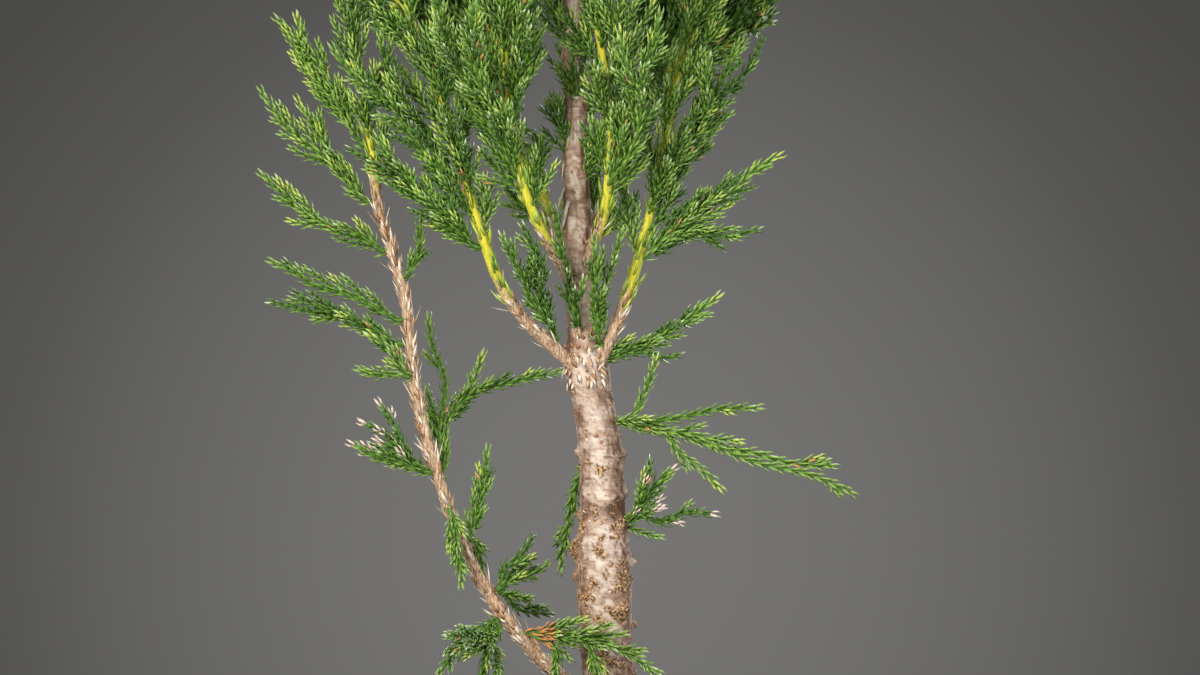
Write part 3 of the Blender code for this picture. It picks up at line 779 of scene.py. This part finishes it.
def tube_arrays(line, radii, sides):
    """Points and quads of a closed tube along a line, its ends drawn in."""
    along, side, through = frames_along(line)
    turn = 2 * math.pi * np.arange(sides) / sides
    ring_out = (np.cos(turn)[None, :, None] * side[:, None, :]
                + np.sin(turn)[None, :, None] * through[:, None, :])
    points = line[:, None, :] + ring_out * radii[:, None, None]
    rows = np.arange(len(line) - 1)[:, None] * sides
    here = np.arange(sides)[None, :]
    nxt = (here + 1) % sides
    quads = np.stack([rows + here, rows + nxt, rows + sides + nxt, rows + sides + here], axis=-1)
    last = (len(line) - 1) * sides
    caps = np.array([list(range(sides))[::-1], [last + k for k in range(sides)]])
    return points.reshape(-1, 3), quads.reshape(-1, 4), caps


base = 0
points = []
faces = {3: [], 4: []}
slots = {3: [], 4: []}
for shoot in shoots:
    line, _ = resampled(shoot.places, FINE_TWIG_STEP if shoot.fine else COARSE_TWIG_STEP)
    radii = np.linspace(shoot.thick, shoot.thin, len(line))
    tube, quads, caps = tube_arrays(line, radii, 4 if shoot.order == 0 else 3)
    slot = 0 if shoot.order == 0 and shoot.thick > YELLOW_THICK else 1
    points.append(tube)
    for group in (quads, caps):
        faces[group.shape[1]].append(group + base)
        slots[group.shape[1]].append(np.full(len(group), slot))
    base += len(tube)
finished(joined("twigs", np.concatenate(points), [np.concatenate(faces[k]) for k in (4, 3)],
                [np.concatenate(slots[k]) for k in (4, 3)], twig_finishes), "bough")

# %% [markdown]
# Bark has to be geometry, because its edge shows against the backdrop. A grid is rolled round
# the limb's line, its seam welded and its ends closed, and every point is pushed out by a
# relief in millimetres. The relief also leaves its marks as attributes that the finish reads.

# %% Roll bark round a limb
Knob = namedtuple("Knob", "height bearing size lift cork")
# Height in mm, bearing in degrees from +X towards +Y, size and lift in mm, and how corky it is
TRUNK_KNOBS = (
    Knob(245.0, 180, 0.9, 1.0, 0.6), Knob(243.7, 0, 1.1, 1.4, 0.2), Knob(230.8, 185, 0.7, 1.3, 0.1),
    Knob(228.6, -35, 1.0, 1.0, 0.0), Knob(223.4, 180, 2.3, 2.0, 1.0), Knob(217.0, 178, 1.5, 1.1, 0.8),
    Knob(220.0, 2, 0.8, 1.5, 0.5), Knob(210.0, -45, 1.7, 1.3, 1.0), Knob(206.0, 5, 1.1, 1.0, 0.8),
    Knob(236.0, 10, 1.2, 0.6, 0.3), Knob(285.7, -10, 2.0, 0.8, 0.9), Knob(199.0, 150, 1.4, 1.0, 0.7),
    Knob(191.0, -60, 1.6, 0.9, 0.6), Knob(178.0, 40, 1.8, 1.1, 0.7), Knob(186.0, 100, 1.5, 1.2, 0.8),
    Knob(240.0, 95, 1.4, 1.2, 0.5), Knob(214.0, 80, 1.6, 1.3, 0.9), Knob(226.0, 60, 1.2, 1.0, 0.6),
)
CORK_BANDS = ((229.0, 1.2), (221.0, 1.6), (213.0, 2.6), (205.5, 3.0), (196.0, 2.5), (186.0, 4.0),
              (172.0, 5.0))
RING_HEIGHT = 234.4
COLLAR = (264.0, 3.2)
# Pale strips run up the trunk, one of them in front where the key light falls, a painted highlight, with
# rusty bark between them that darkens the trunk's sides as painted shade
PALE_FACES = 3
PALE_BEARING = math.pi / 2 + 0.1
ROUGHNESS = 0.6
FINER = 2.1


def stretched(turn, radius, height, round_scale, along_scale, octaves=2):
    """Noise that runs round a limb in one grain and along it in another."""
    circle = radius / round_scale
    place = Vector((math.cos(turn) * circle, math.sin(turn) * circle, height / along_scale))
    return noise.fractal(place, ROUGHNESS, FINER, octaves)


def ridged(value, width):
    """Thin lines where noise passes through nought."""
    return max(0.0, 1 - abs(value) / width)


def trunk_relief(turn, height, radius):
    """The trunk's relief in mm, and how corky, how dark and how pale the bark is there; the dark also holds
    painted shade on the sides and under the ledge, the pale a painted highlight down the front.
    """
    bearing = math.degrees(turn)
    lump = stretched(turn, radius, height, 4.0, 6.0)
    bent = height + 2.2 * stretched(turn + 1, radius, height, 2.6, 3.2)
    crack = ridged(stretched(turn, radius, bent, 4.5, 0.75), 0.10)
    split = ridged(stretched(turn, radius, bent, 0.9, 8.0), 0.10)
    stringy = clamp((height - 262) / 14)
    lift = 0.24 * lump - 0.10 * crack * (1 - 0.7 * stringy) - 0.12 * split * (0.35 + 0.65 * stringy)
    cork = 0.0
    for middle, half in CORK_BANDS:
        cork = max(cork, 1 - abs(height - middle - 2.5 * lump) / half)
    patch = stretched(turn + 3, radius, height, 3.0, 3.4, 3)
    right = 0.5 + 0.5 * math.cos(turn + 0.35)
    cork = 0.7 * cork + 2.0 * patch - 0.55 + 0.45 * right
    if height > 231:
        cork = 2.5 * (patch - 0.50)
    cork = clamp(2.2 * cork)
    rough = stretched(turn, radius, height, 0.55, 0.55, 3)
    lift += cork * (0.18 + 0.55 * rough)
    ring_face = 0.5 + 0.5 * math.cos(turn + 0.9)
    lift += 0.85 * ring_face * math.exp(-((height - RING_HEIGHT - 1.6 * lump) / 0.8) ** 2)
    under = math.exp(-((height - RING_HEIGHT + 2.9 - 1.2 * lump) / 1.9) ** 2) * ring_face**2
    lift -= 0.55 * under
    shaggy = math.exp(-((height - COLLAR[0]) / COLLAR[1]) ** 2)
    lift += shaggy * 0.45 * stretched(turn, radius, height, 0.8, 2.2, 3)
    for knob in TRUNK_KNOBS:
        away = math.radians((bearing - knob.bearing + 180) % 360 - 180) * radius
        near = (away**2 + (height - knob.height) ** 2) / knob.size**2
        if near < 6:
            swell = math.exp(-near)
            lift += knob.lift * swell * (1 + 0.5 * rough)
            cork = max(cork, knob.cork * min(1.0, 1.6 * swell))
    # face is high on the pale strips, the front one a painted highlight, and low between them, where the
    # dark mark paints shade on the trunk's sides
    face = 0.5 + 0.5 * math.cos(PALE_FACES * (turn + PALE_BEARING) + 0.8 * lump)
    band = stretched(turn + 5, radius, bent, 6.0, 1.5, 3)
    pale = 0.26 + 0.52 * face + 0.75 * band + 0.5 * shaggy - 0.22 * stringy
    flecks = stretched(turn + 2, radius, height, 0.9, 2.6, 3)
    # dark: real cracks, splits and stringy streaks, plus painted shadow in the groove under the ring ledge
    # and painted shade on the trunk's sides
    dark = 0.5 * crack * (1 - stringy) + 1.1 * under - 0.12
    dark += (1 - face) * (0.50 + 1.3 * flecks) + 0.35 * split * (1.2 - face)
    dark += stringy * (0.12 + 0.9 * stretched(turn + 2, radius, height, 1.3, 12.0))
    return lift, cork, clamp(dark), clamp(pale)


def bough_relief(change, turn, height, radius):
    """A bough's relief in mm: flaky up to a height, above that young, smooth and ribbed."""
    edge = change + 6 * stretched(turn, radius, height, 1.0, 8.0)
    papery = clamp(0.5 + (edge - height) / 3.0)
    flake = stretched(turn, radius, height, 0.6, 3.5, 3)
    rib = stretched(turn, radius, height, 0.5, 8.0, 1)
    lift = papery * 0.30 * flake + (1 - papery) * 0.07 * rib
    return lift, papery, clamp(0.5 - 0.9 * flake), clamp(0.5 + 0.9 * flake)


def bark_roll(name, limb, around, step_at, relief, finish):
    """The rolled bark of one limb."""
    fine_line, at = resampled(limb.places, LIMB_FINE)
    rows = [0.0]
    while rows[-1] < at[-1]:
        rows.append(rows[-1] + step_at(np.interp(rows[-1], at, fine_line[:, 2])))
    rows[-1] = at[-1]
    line = columns_at(rows, at, fine_line)
    radii = np.interp(rows, gone_along(limb.places), limb.radii)
    _, side, through = frames_along(line)
    bm = bmesh.new()
    bmesh.ops.create_grid(bm, x_segments=around, y_segments=len(rows) - 1, size=1.0, calc_uvs=False)
    marks = [bm.verts.layers.float.new(key) for key in ("cork", "dark", "pale")]
    for vert in bm.verts:
        column = round((vert.co.x + 1) / 2 * around)
        row = round((vert.co.y + 1) / 2 * (len(rows) - 1))
        turn = -2 * math.pi * (column % around) / around
        lift, *values = relief(turn, line[row][2] / MM, radii[row] / MM)
        out = math.cos(turn) * side[row] + math.sin(turn) * through[row]
        vert.co = Vector(line[row] + out * (radii[row] + lift * MM))
        for layer, value in zip(marks, values):
            vert[layer] = value
    bmesh.ops.remove_doubles(bm, verts=bm.verts, dist=MERGE)
    bmesh.ops.holes_fill(bm, edges=bm.edges, sides=around + 2)
    bmesh.ops.recalc_face_normals(bm, faces=bm.faces)
    return object_of(name, bm, finish)


# %% [markdown]
# Juniper bark here is a thin silvery skin, pinkish tan, that splits into red-brown streaks and
# breaks into corky plates. The big marks come with the mesh; a fine grain is added in the
# shader, long on the limb and narrow round it.

# %% Bark finishes


def mark(tree, name):
    return add(tree, "ShaderNodeAttribute", {}, attribute_name=name).outputs["Fac"]


def mixed(tree, factor, first, second):
    made = add(tree, "ShaderNodeMix", {"Factor": factor}, data_type="RGBA")
    tree.links.new(first, made.inputs[6])
    tree.links.new(second, made.inputs[7])
    return made.outputs[2]


def grain(tree, across_mm, along_mm, detail=3.0):
    """Noise that is fine across a limb and long up it, sized in millimetres."""
    where = add(tree, "ShaderNodeTexCoord", {}).outputs["Object"]
    scale = (1 / (across_mm * MM), 1 / (across_mm * MM), 1 / (along_mm * MM))
    mapped = add(tree, "ShaderNodeMapping", {"Vector": where, "Scale": scale}).outputs["Vector"]
    sockets = {"Vector": mapped, "Scale": 1.0, "Detail": detail, "Roughness": ROUGHNESS}
    return add(tree, "ShaderNodeTexNoise", sockets).outputs["Fac"]


def roughened(tree, shader, height, depth_mm):
    bump = add(tree, "ShaderNodeBump", {"Height": height, "Distance": depth_mm * MM, "Strength": 0.9})
    tree.links.new(bump.outputs["Normal"], shader.inputs["Normal"])


# Silvery juniper bark, thin and split by growth: pale skin, rusty streaks, crumbly cork. The pale skin also
# paints a highlight down the trunk's front, and the rust colour paints shade on its sides and in the groove
# under the ledge
trunk_bark, tree, shader = finish_of("juniper_bark", "#c3a78f", 0.62, 0.35)
skin = ramp(tree, mark(tree, "pale"),
            (0.0, "#7d6050"), (0.35, "#a28575"), (0.62, "#c4af9f"), (1.0, "#e4d8cc"))
hairlines = ramp(tree, grain(tree, 3.2, 0.5, 4.0), (0.36, "#5f4334"), (0.47, "#ad917b"), (0.68, "#d6c7ba"))
rust_and_shade = ramp(tree, grain(tree, 0.8, 3.0), (0.35, "#3a251b"), (0.65, "#7d5437"))
crumb = ramp(tree, grain(tree, 0.55, 0.55, 5.0), (0.40, "#2c1c12"), (0.5, "#86633f"), (0.60, "#d0ae84"))
body = mixed(tree, 0.34, skin, hairlines)
body = mixed(tree, mark(tree, "dark"), body, rust_and_shade)
body = mixed(tree, mark(tree, "cork"), body, crumb)
tree.links.new(body, shader.inputs["Base Color"])
roughened(tree, shader, grain(tree, 0.35, 1.2, 4.0), 0.12)

# Papery bark of a young bough, peeling from yellow stems: dull tan flakes on a waxy skin
bough_bark, tree, shader = finish_of("papery_bough_bark", "#cba57f", 0.6, 0.35)
tan = ramp(tree, grain(tree, 0.4, 3.0, 4.0), (0.35, "#73543e"), (0.5, "#b49475"), (0.7, "#dfcdb6"))
young = ramp(tree, grain(tree, 0.5, 5.0), (0.35, "#a3ad2c"), (0.55, "#d0c636"), (0.72, "#dfd44e"))
tree.links.new(mixed(tree, mark(tree, "cork"), young, tan), shader.inputs["Base Color"])
roughened(tree, shader, grain(tree, 0.3, 2.0, 4.0), 0.10)

# %% [markdown]
# Bark ages from the root of a bough outwards: papery tan first, then the yellow skin of the
# young stem shows. Each bough changes over at its own height, in mm above the ground.

# %% The trunk and the boughs
PAPERY_TO = {
    "bough_low_left": 306.0, "bough_whorl_left": 280.0, "bough_upper_left": 291.0,
    "bough_upper_right": 294.0, "bough_whorl_right": 278.0, "bough_back_left": 296.0,
    "bough_back_right": 298.0,
}
TRUNK_AROUND = 72
BOUGH_AROUND = 20
CLOSE_RING = 0.0005
FAR_RING = 0.0013
BOUGH_RING = 0.0006


def trunk_step(height):
    return CLOSE_RING if 0.193 < height < 0.350 else FAR_RING


trunk_roll = bark_roll("trunk_bark", trunk, TRUNK_AROUND, trunk_step, trunk_relief, trunk_bark)
finished(trunk_roll, "trunk", "trunk")
for name, change in PAPERY_TO.items():
    bough = bark_roll(name + "_bark", limbs[name], BOUGH_AROUND, lambda height: BOUGH_RING,
                      partial(bough_relief, change), bough_bark)
    finished(bough, "bough", name)

# %% [markdown]
# Dry scale leaves and strips of old bark stand off the papery parts and hang round the whorl's
# collar. The yellow stretches carry long green needles pressed to the stem. Both use the same
# awl as the needles, only flatter, longer and in their own tints.

# %% Peeling flakes and stem needles
FLAKES = {"flake_tan": "#c9a888", "flake_pale": "#efe0cc", "flake_rust": "#a87a56"}
# Dead juniper scale leaf and bark strip: thin, curled, dull
flake_finishes = finishes_of(FLAKES, 0.7, 0.3)
FLAT_AWL = FINE_AWL * np.array([1.0, 0.35, 1.0])
TAN, PALE, RUST = range(3)
YOUNG = (SLOT["light"], SLOT["fresh"], SLOT["stem"])
SUNK = 0.93

# Length, width and lean from the limb, how far the lean varies, and the tints
Strip = namedtuple("Strip", "length width lean jitter tints")
SCALES = Strip(0.0030, 0.00042, 0.22, 0.8, (TAN, TAN, PALE, PALE, RUST))
PEELINGS = Strip(0.0048, 0.00040, 0.50, 0.5, (TAN, PALE))
STEM_NEEDLES = Strip(0.0042, 0.00036, 0.24, 0.5, YOUNG)
TRUNK_STRIPS = (
    (260, 268, 90, Strip(0.0026, 0.00050, 2.70, 0.12, (TAN, PALE, PALE, RUST)), None),
    (262, 270, 60, Strip(0.0024, 0.00045, 0.60, 0.60, (TAN, PALE, RUST)), None),
    (284, 310, 12, Strip(0.0055, 0.00060, 2.95, 0.05, (TAN, PALE)), 180),
    (196, 258, 60, Strip(0.0011, 0.00050, 0.70, 0.60, (TAN, PALE, RUST)), None),
)


def strewn(limb, low, high, count, strip, bearing=None):
    """Awls strewn over a stretch of a limb, all round it or near one bearing."""
    line, at = resampled(limb.places, LIMB_FINE)
    inside = np.flatnonzero((line[:, 2] > low * MM) & (line[:, 2] < high * MM))
    radii = np.interp(at, gone_along(limb.places), limb.radii)
    along, side, through = frames_along(line)
    rows = []
    for _ in range(count):
        i = inside[rng.randrange(len(inside))]
        turn = rng.uniform(0, 2 * math.pi) if bearing is None else rng.gauss(math.radians(bearing), 0.6)
        out = math.cos(turn) * side[i] + math.sin(turn) * through[i]
        lean = strip.lean * rng.uniform(1 - strip.jitter, 1 + strip.jitter)
        direction = math.cos(lean) * along[i] + math.sin(lean) * out
        direction = unit(direction + 0.25 * rng.uniform(-1, 1) * np.cross(along[i], out))
        rows.append((line[i] + out * radii[i] * SUNK, direction, out,
                     strip.length * rng.uniform(0.6, 1.3), strip.width * rng.uniform(0.7, 1.3)))
    shapes = ((-1, 3), (-1, 3), (-1, 3), (-1,), (-1,))
    parts = [np.array([row[k] for row in rows], float).reshape(shape) for k, shape in enumerate(shapes)]
    tints = np.array([rng.choice(strip.tints) for _ in rows], int)
    return (*parts, tints, tints)


flakes = []
stem_needles = []
for name, change in PAPERY_TO.items():
    limb = limbs[name]
    low = limb.places[1][2] / MM
    high = limb.places[-1][2] / MM
    stretch = max(3.0, change - low)
    flakes.append(strewn(limb, low, change + 2, int(stretch * 3.2), SCALES))
    flakes.append(strewn(limb, low, change, int(stretch * 0.25), PEELINGS))
    if high > change:
        stem_needles.append(strewn(limb, change - 2, high, int((high - change) * 1.5), STEM_NEEDLES))
for low, high, count, strip, bearing in TRUNK_STRIPS:
    flakes.append(strewn(trunk, low, high, count, strip, bearing))
for name, rows, template, finishes, slot in (
        ("bark_flakes", flakes, FLAT_AWL, flake_finishes, "bough"),
        ("stem_needles", stem_needles, FINE_AWL, needle_finishes, "foliage")):
    finished(joined(name, *needle_arrays(rows, template, FINE_INNER, FINE_OUTER), finishes), slot)

# %% [markdown]
# A nursery pot is one moulding: a tapered wall with a rolled rim, two ribs, a standing ring and
# drain holes. It is turned from half its section by a spin, and the holes are cut through.

# %% The pot
POT_TURNS = 96
POT_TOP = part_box("pot")[1].z / MM
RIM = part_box("pot")[1].x / MM
RIM_LOW = POT_TOP - 14.0
BASE = 62.0
MOUTH = 80.0
WALL = 2.0
FOOT = 2.5
FLOOR_TOP = 5.5
RIBS = (132.0, 36.0)
DRAINS = 5
DRAIN_CIRCLE = 40.0
DRAIN_RADIUS = 4.0
SHARP = math.radians(35)


def wall_at(height):
    """The wall's outer radius."""
    return BASE + (MOUTH - BASE) * height / POT_TOP


def spun(name, profile, turns, finish):
    """A closed body of revolution about Z from (radius, height) pairs in mm."""
    bm = bmesh.new()
    verts = [bm.verts.new((r * MM, 0.0, z * MM)) for r, z in profile]
    edges = [bm.edges.new(pair) for pair in zip(verts, verts[1:])]
    bmesh.ops.spin(bm, geom=verts + edges, cent=(0, 0, 0), axis=(0, 0, 1), angle=2 * math.pi,
                   steps=turns, use_merge=True)
    bmesh.ops.remove_doubles(bm, verts=bm.verts, dist=0.01 * MM)
    bmesh.ops.recalc_face_normals(bm, faces=bm.faces)
    made = object_of(name, bm, finish)
    made.data.set_sharp_from_angle(angle=SHARP)
    return made


def rib(height):
    """A raised hoop on the outside of the wall."""
    return [(wall_at(height + 1.4), height + 1.4), (wall_at(height) + 0.7, height + 0.8),
            (wall_at(height) + 0.7, height - 0.8), (wall_at(height - 1.4), height - 1.4)]


def drilled(pot, angle):
    """One drain hole cut through the pot's floor."""
    middle = Vector((DRAIN_CIRCLE * math.cos(angle), DRAIN_CIRCLE * math.sin(angle), 4)) * MM
    bm = bmesh.new()
    bmesh.ops.create_cone(bm, cap_ends=True, segments=24, radius1=DRAIN_RADIUS * MM,
                          radius2=DRAIN_RADIUS * MM, depth=12 * MM, matrix=Matrix.Translation(middle))
    drill = object_of("drill", bm, smooth=False)
    cut = pot.modifiers.new("drain", "BOOLEAN")
    cut.object = drill
    cut.operation = "DIFFERENCE"
    bpy.context.view_layer.update()
    cut_mesh = bpy.data.meshes.new_from_object(pot.evaluated_get(bpy.context.evaluated_depsgraph_get()))
    pot.modifiers.clear()
    pot.data = cut_mesh
    bpy.data.objects.remove(drill)


# Injection-moulded polypropylene, dark grey: even, faintly pebbled, soft shine
pot_plastic, tree, shader = finish_of("moulded_polypropylene", "#26282a", 0.42, 0.45)
where = add(tree, "ShaderNodeTexCoord", {}).outputs["Object"]
pebble_sockets = {"Vector": where, "Scale": 1 / (0.9 * MM), "Detail": 2.0}
pebble = add(tree, "ShaderNodeTexNoise", pebble_sockets).outputs["Fac"]
tree.links.new(ramp(tree, pebble, (0.3, "#212325"), (0.7, "#2c2e31")), shader.inputs["Base Color"])
roughened(tree, shader, pebble, 0.05)

inner_foot = wall_at(FLOOR_TOP) - WALL
inner_mouth = MOUTH - WALL
inside = [(0.0, FLOOR_TOP), (inner_foot - 3, FLOOR_TOP), (inner_foot, FLOOR_TOP + 3),
          (inner_mouth, POT_TOP - 2.5), (inner_mouth + 0.5, POT_TOP - 0.8), (inner_mouth + 1.5, POT_TOP)]
rim = [(RIM - 1.2, POT_TOP), (RIM - 0.3, POT_TOP - 0.5), (RIM, POT_TOP - 1.5), (RIM - 0.5, RIM_LOW + 0.6),
       (RIM - 1.0, RIM_LOW), (wall_at(RIM_LOW) + 0.4, RIM_LOW + 0.2), (wall_at(RIM_LOW - 1), RIM_LOW - 1.0)]
ribs = [point for height in RIBS for point in rib(height)]
foot = [(wall_at(3.0), 3.0), (BASE - 0.4, 1.0), (BASE - 1.5, 0.0), (BASE - 10.0, 0.0), (BASE - 12.0, FOOT),
        (0.0, FOOT)]
pot = spun("pot_shell", inside + rim + ribs + foot, POT_TURNS, pot_plastic)
for number in range(DRAINS):
    drilled(pot, 2 * math.pi * number / DRAINS)
finished(pot, "pot", "pot")

# %% [markdown]
# The mix in the pot is composted bark with a few grains of white perlite. A turned body with a
# rumpled top stands for the mass of it, and loose chips and grains are strewn on that.

# %% The potting mix
SOIL_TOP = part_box("soil")[1].z / MM
SOIL_EDGE = wall_at(SOIL_TOP - 3) - WALL - 0.9
SOIL_RINGS = 40
SOIL_TURNS = 120
CHIP_COUNT = 1500
TRUNK_CLEAR = 9.5
PERLITE_SHARE = 0.12


def soil_at(reach):
    """The mix's height at a distance from the middle: a little lower at the wall."""
    return SOIL_TOP - 1.0 - 1.5 * (reach / SOIL_EDGE) ** 2


def rumple(place, lump_mm):
    """Layered noise from about -1 to 1, with its largest lumps of the given size."""
    return 1.6 * noise.fractal(place / (lump_mm * MM), ROUGHNESS, FINER, 3)


# Composted pine bark: damp, dark, crumbly
mix_finish, tree, shader = finish_of("composted_bark", "#3a2a1e", 0.95, 0.2)
clods = ramp(tree, grain(tree, 3.0, 3.0, 5.0), (0.3, "#1f1610"), (0.5, "#3d2b1d"), (0.75, "#5e4530"))
tree.links.new(clods, shader.inputs["Base Color"])
roughened(tree, shader, grain(tree, 1.2, 1.2, 4.0), 0.8)
reaches = [SOIL_EDGE * i / SOIL_RINGS for i in range(SOIL_RINGS + 1)]
low = FLOOR_TOP + 0.6
mix_profile = [(reach, soil_at(reach)) for reach in reaches]
mix_profile += [(wall_at(60) - WALL - 1.2, 60.0), (wall_at(FLOOR_TOP + 1) - WALL - 3.4, low), (0.0, low)]
mix = spun("potting_mix", mix_profile[::-1], SOIL_TURNS, mix_finish)
for vert in mix.data.vertices:
    reach = math.hypot(vert.co.x, vert.co.y) / MM
    if vert.co.z > (SOIL_TOP - 3.5) * MM and reach < SOIL_EDGE - 0.5:
        vert.co.z += (0.9 * rumple(vert.co, 9.0) + 0.5 * rumple(vert.co, 2.5)) * MM
finished(mix, "soil", "soil")

CHIPS = {
    "bark_chip": "#5a4130", "bark_chip_red": "#7b543a", "bark_chip_dark": "#33251b", "perlite": "#ded9ce",
}
# Shredded bark and expanded perlite: dull and rough
chip_finishes = finishes_of(CHIPS, 0.9, 0.2)
PERLITE = len(CHIPS) - 1
BLOCK = np.array([(x, y, z) for z in (-1, 1) for y in (-1, 1) for x in (-1, 1)], float)
BLOCK_FACES = ((0, 2, 3, 1), (4, 5, 7, 6), (0, 1, 5, 4), (2, 6, 7, 3), (0, 4, 6, 2), (1, 3, 7, 5))
chips = []
chip_slots = []
for _ in range(CHIP_COUNT):
    reach = (SOIL_EDGE - 3.5) * math.sqrt(rng.random())
    turn = rng.uniform(0, 2 * math.pi)
    if reach < TRUNK_CLEAR:
        continue
    white = rng.random() < PERLITE_SHARE
    if white:
        half = np.full(3, rng.uniform(0.6, 1.0))
    else:
        half = np.array([rng.uniform(1.2, 3.6), rng.uniform(0.6, 1.5), rng.uniform(0.25, 0.6)])
    turned = Euler((rng.uniform(-0.4, 0.4), rng.uniform(-0.4, 0.4), rng.uniform(0, 6.3))).to_matrix()
    block = BLOCK * half * np.array([[rng.uniform(0.6, 1.0) for _ in range(3)] for _ in range(8)])
    middle = (reach * math.cos(turn), reach * math.sin(turn), soil_at(reach) + rng.uniform(-0.2, 0.7))
    chips.append((block @ np.array(turned).T + np.array(middle)) * MM)
    chip_slots.append(PERLITE if white else rng.choice((0, 0, 1, 2)))
first = np.arange(len(chips))[:, None] * len(BLOCK)
faces = [first + np.array(face)[None, :] for face in BLOCK_FACES]
slots = [np.array(chip_slots)] * len(faces)
finished(joined("mix_chips", np.concatenate(chips), faces, slots, chip_finishes), "soil")

# %% [markdown]
# The camera looks level at the lower stem through a long lens from three quarters of a metre,
# as a close photograph of a plant on a bench does. It sees 267 by 150 mm of the plant.

# %% Camera
VIEW_CENTRE = (-0.0042, 0.270)
VIEW_DISTANCE = 0.741
LENS = 100.0
camera_data = bpy.data.cameras.new("camera")
camera_data.lens = LENS
camera_data.sensor_width = 36.0
camera_data.clip_start = 0.01
camera = bpy.data.objects.new("camera", camera_data)
camera.location = (VIEW_CENTRE[0], -VIEW_DISTANCE, VIEW_CENTRE[1])
camera.rotation_euler = (math.radians(90), 0.0, 0.0)
bpy.context.scene.collection.objects.link(camera)
bpy.context.scene.camera = camera

# %% [markdown]
# The studio is a plain pale floor, a grey surround that is lighter behind the plant, one large
# soft light from the front left, a weaker one from the right and a little light from behind.

# %% Floor, surround and lights
FLOOR_RADIUS = 1.2
# Matt studio paper
paper, tree, shader = finish_of("studio_paper", "#d8d6d1", 0.9, 0.2)
speck = ramp(tree, grain(tree, 40.0, 40.0, 2.0), (0.3, "#d5d3ce"), (0.7, "#dbd9d4"))
tree.links.new(speck, shader.inputs["Base Color"])
bm = bmesh.new()
bmesh.ops.create_circle(bm, cap_ends=True, segments=96, radius=FLOOR_RADIUS)
object_of("floor", bm, paper, smooth=False)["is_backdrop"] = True

world = bpy.data.worlds.new("studio")
bpy.context.scene.world = world
world.use_nodes = True
tree = world.node_tree
tree.nodes.clear()
facing = add(tree, "ShaderNodeTexCoord", {}).outputs["Generated"]
BRIGHT_WAY = Vector((0.0, 1.0, -0.06)).normalized()
DARK_FROM = math.cos(math.radians(40))
ahead = add(tree, "ShaderNodeVectorMath", {0: facing, 1: BRIGHT_WAY}, operation="DOT_PRODUCT")
glow = add(tree, "ShaderNodeMapRange", {"Value": ahead.outputs["Value"], "From Min": DARK_FROM})
backdrop = ramp(tree, glow.outputs["Result"], (0.0, "#8c8b89"), (0.50, "#6f6e6c"), (0.80, "#444342"),
                (0.89, "#4b4a49"), (0.935, "#575655"), (0.977, "#6b6a68"), (1.0, "#767573"))
seen = add(tree, "ShaderNodeBackground", {"Color": backdrop, "Strength": 1.0})
fill = add(tree, "ShaderNodeBackground", {"Color": linear("#f2f4f6"), "Strength": 0.55})
direct = add(tree, "ShaderNodeLightPath", {}).outputs["Is Camera Ray"]
both = add(tree, "ShaderNodeMixShader", {0: direct, 1: fill.outputs[0], 2: seen.outputs[0]})
add(tree, "ShaderNodeOutputWorld", {"Surface": both.outputs[0]})


def soft_light(name, place, size, power, colour):
    """A square soft box aimed at the middle of the view."""
    data = bpy.data.lights.new(name, "AREA")
    data.size = size
    data.energy = power
    data.color = linear(colour)[:3]
    light = bpy.data.objects.new(name, data)
    light.location = place
    aim = Vector((VIEW_CENTRE[0], 0.0, VIEW_CENTRE[1] + 0.05)) - Vector(place)
    light.rotation_euler = aim.to_track_quat("-Z", "Y").to_euler()
    bpy.context.scene.collection.objects.link(light)


soft_light("key", (-0.55, -0.95, 0.85), 0.45, 16.0, "#fff8ee")
soft_light("fill", (0.95, -0.60, 0.55), 0.7, 5.0, "#f3f6ff")
soft_light("rim", (0.35, 1.0, 0.9), 0.6, 7.0, "#ffffff")
bpy.context.scene.view_settings.view_transform = "Standard"

# %% Sizes and the end
low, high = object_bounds()
print("visual", [round(v / MM, 1) for v in (*low, *high)])
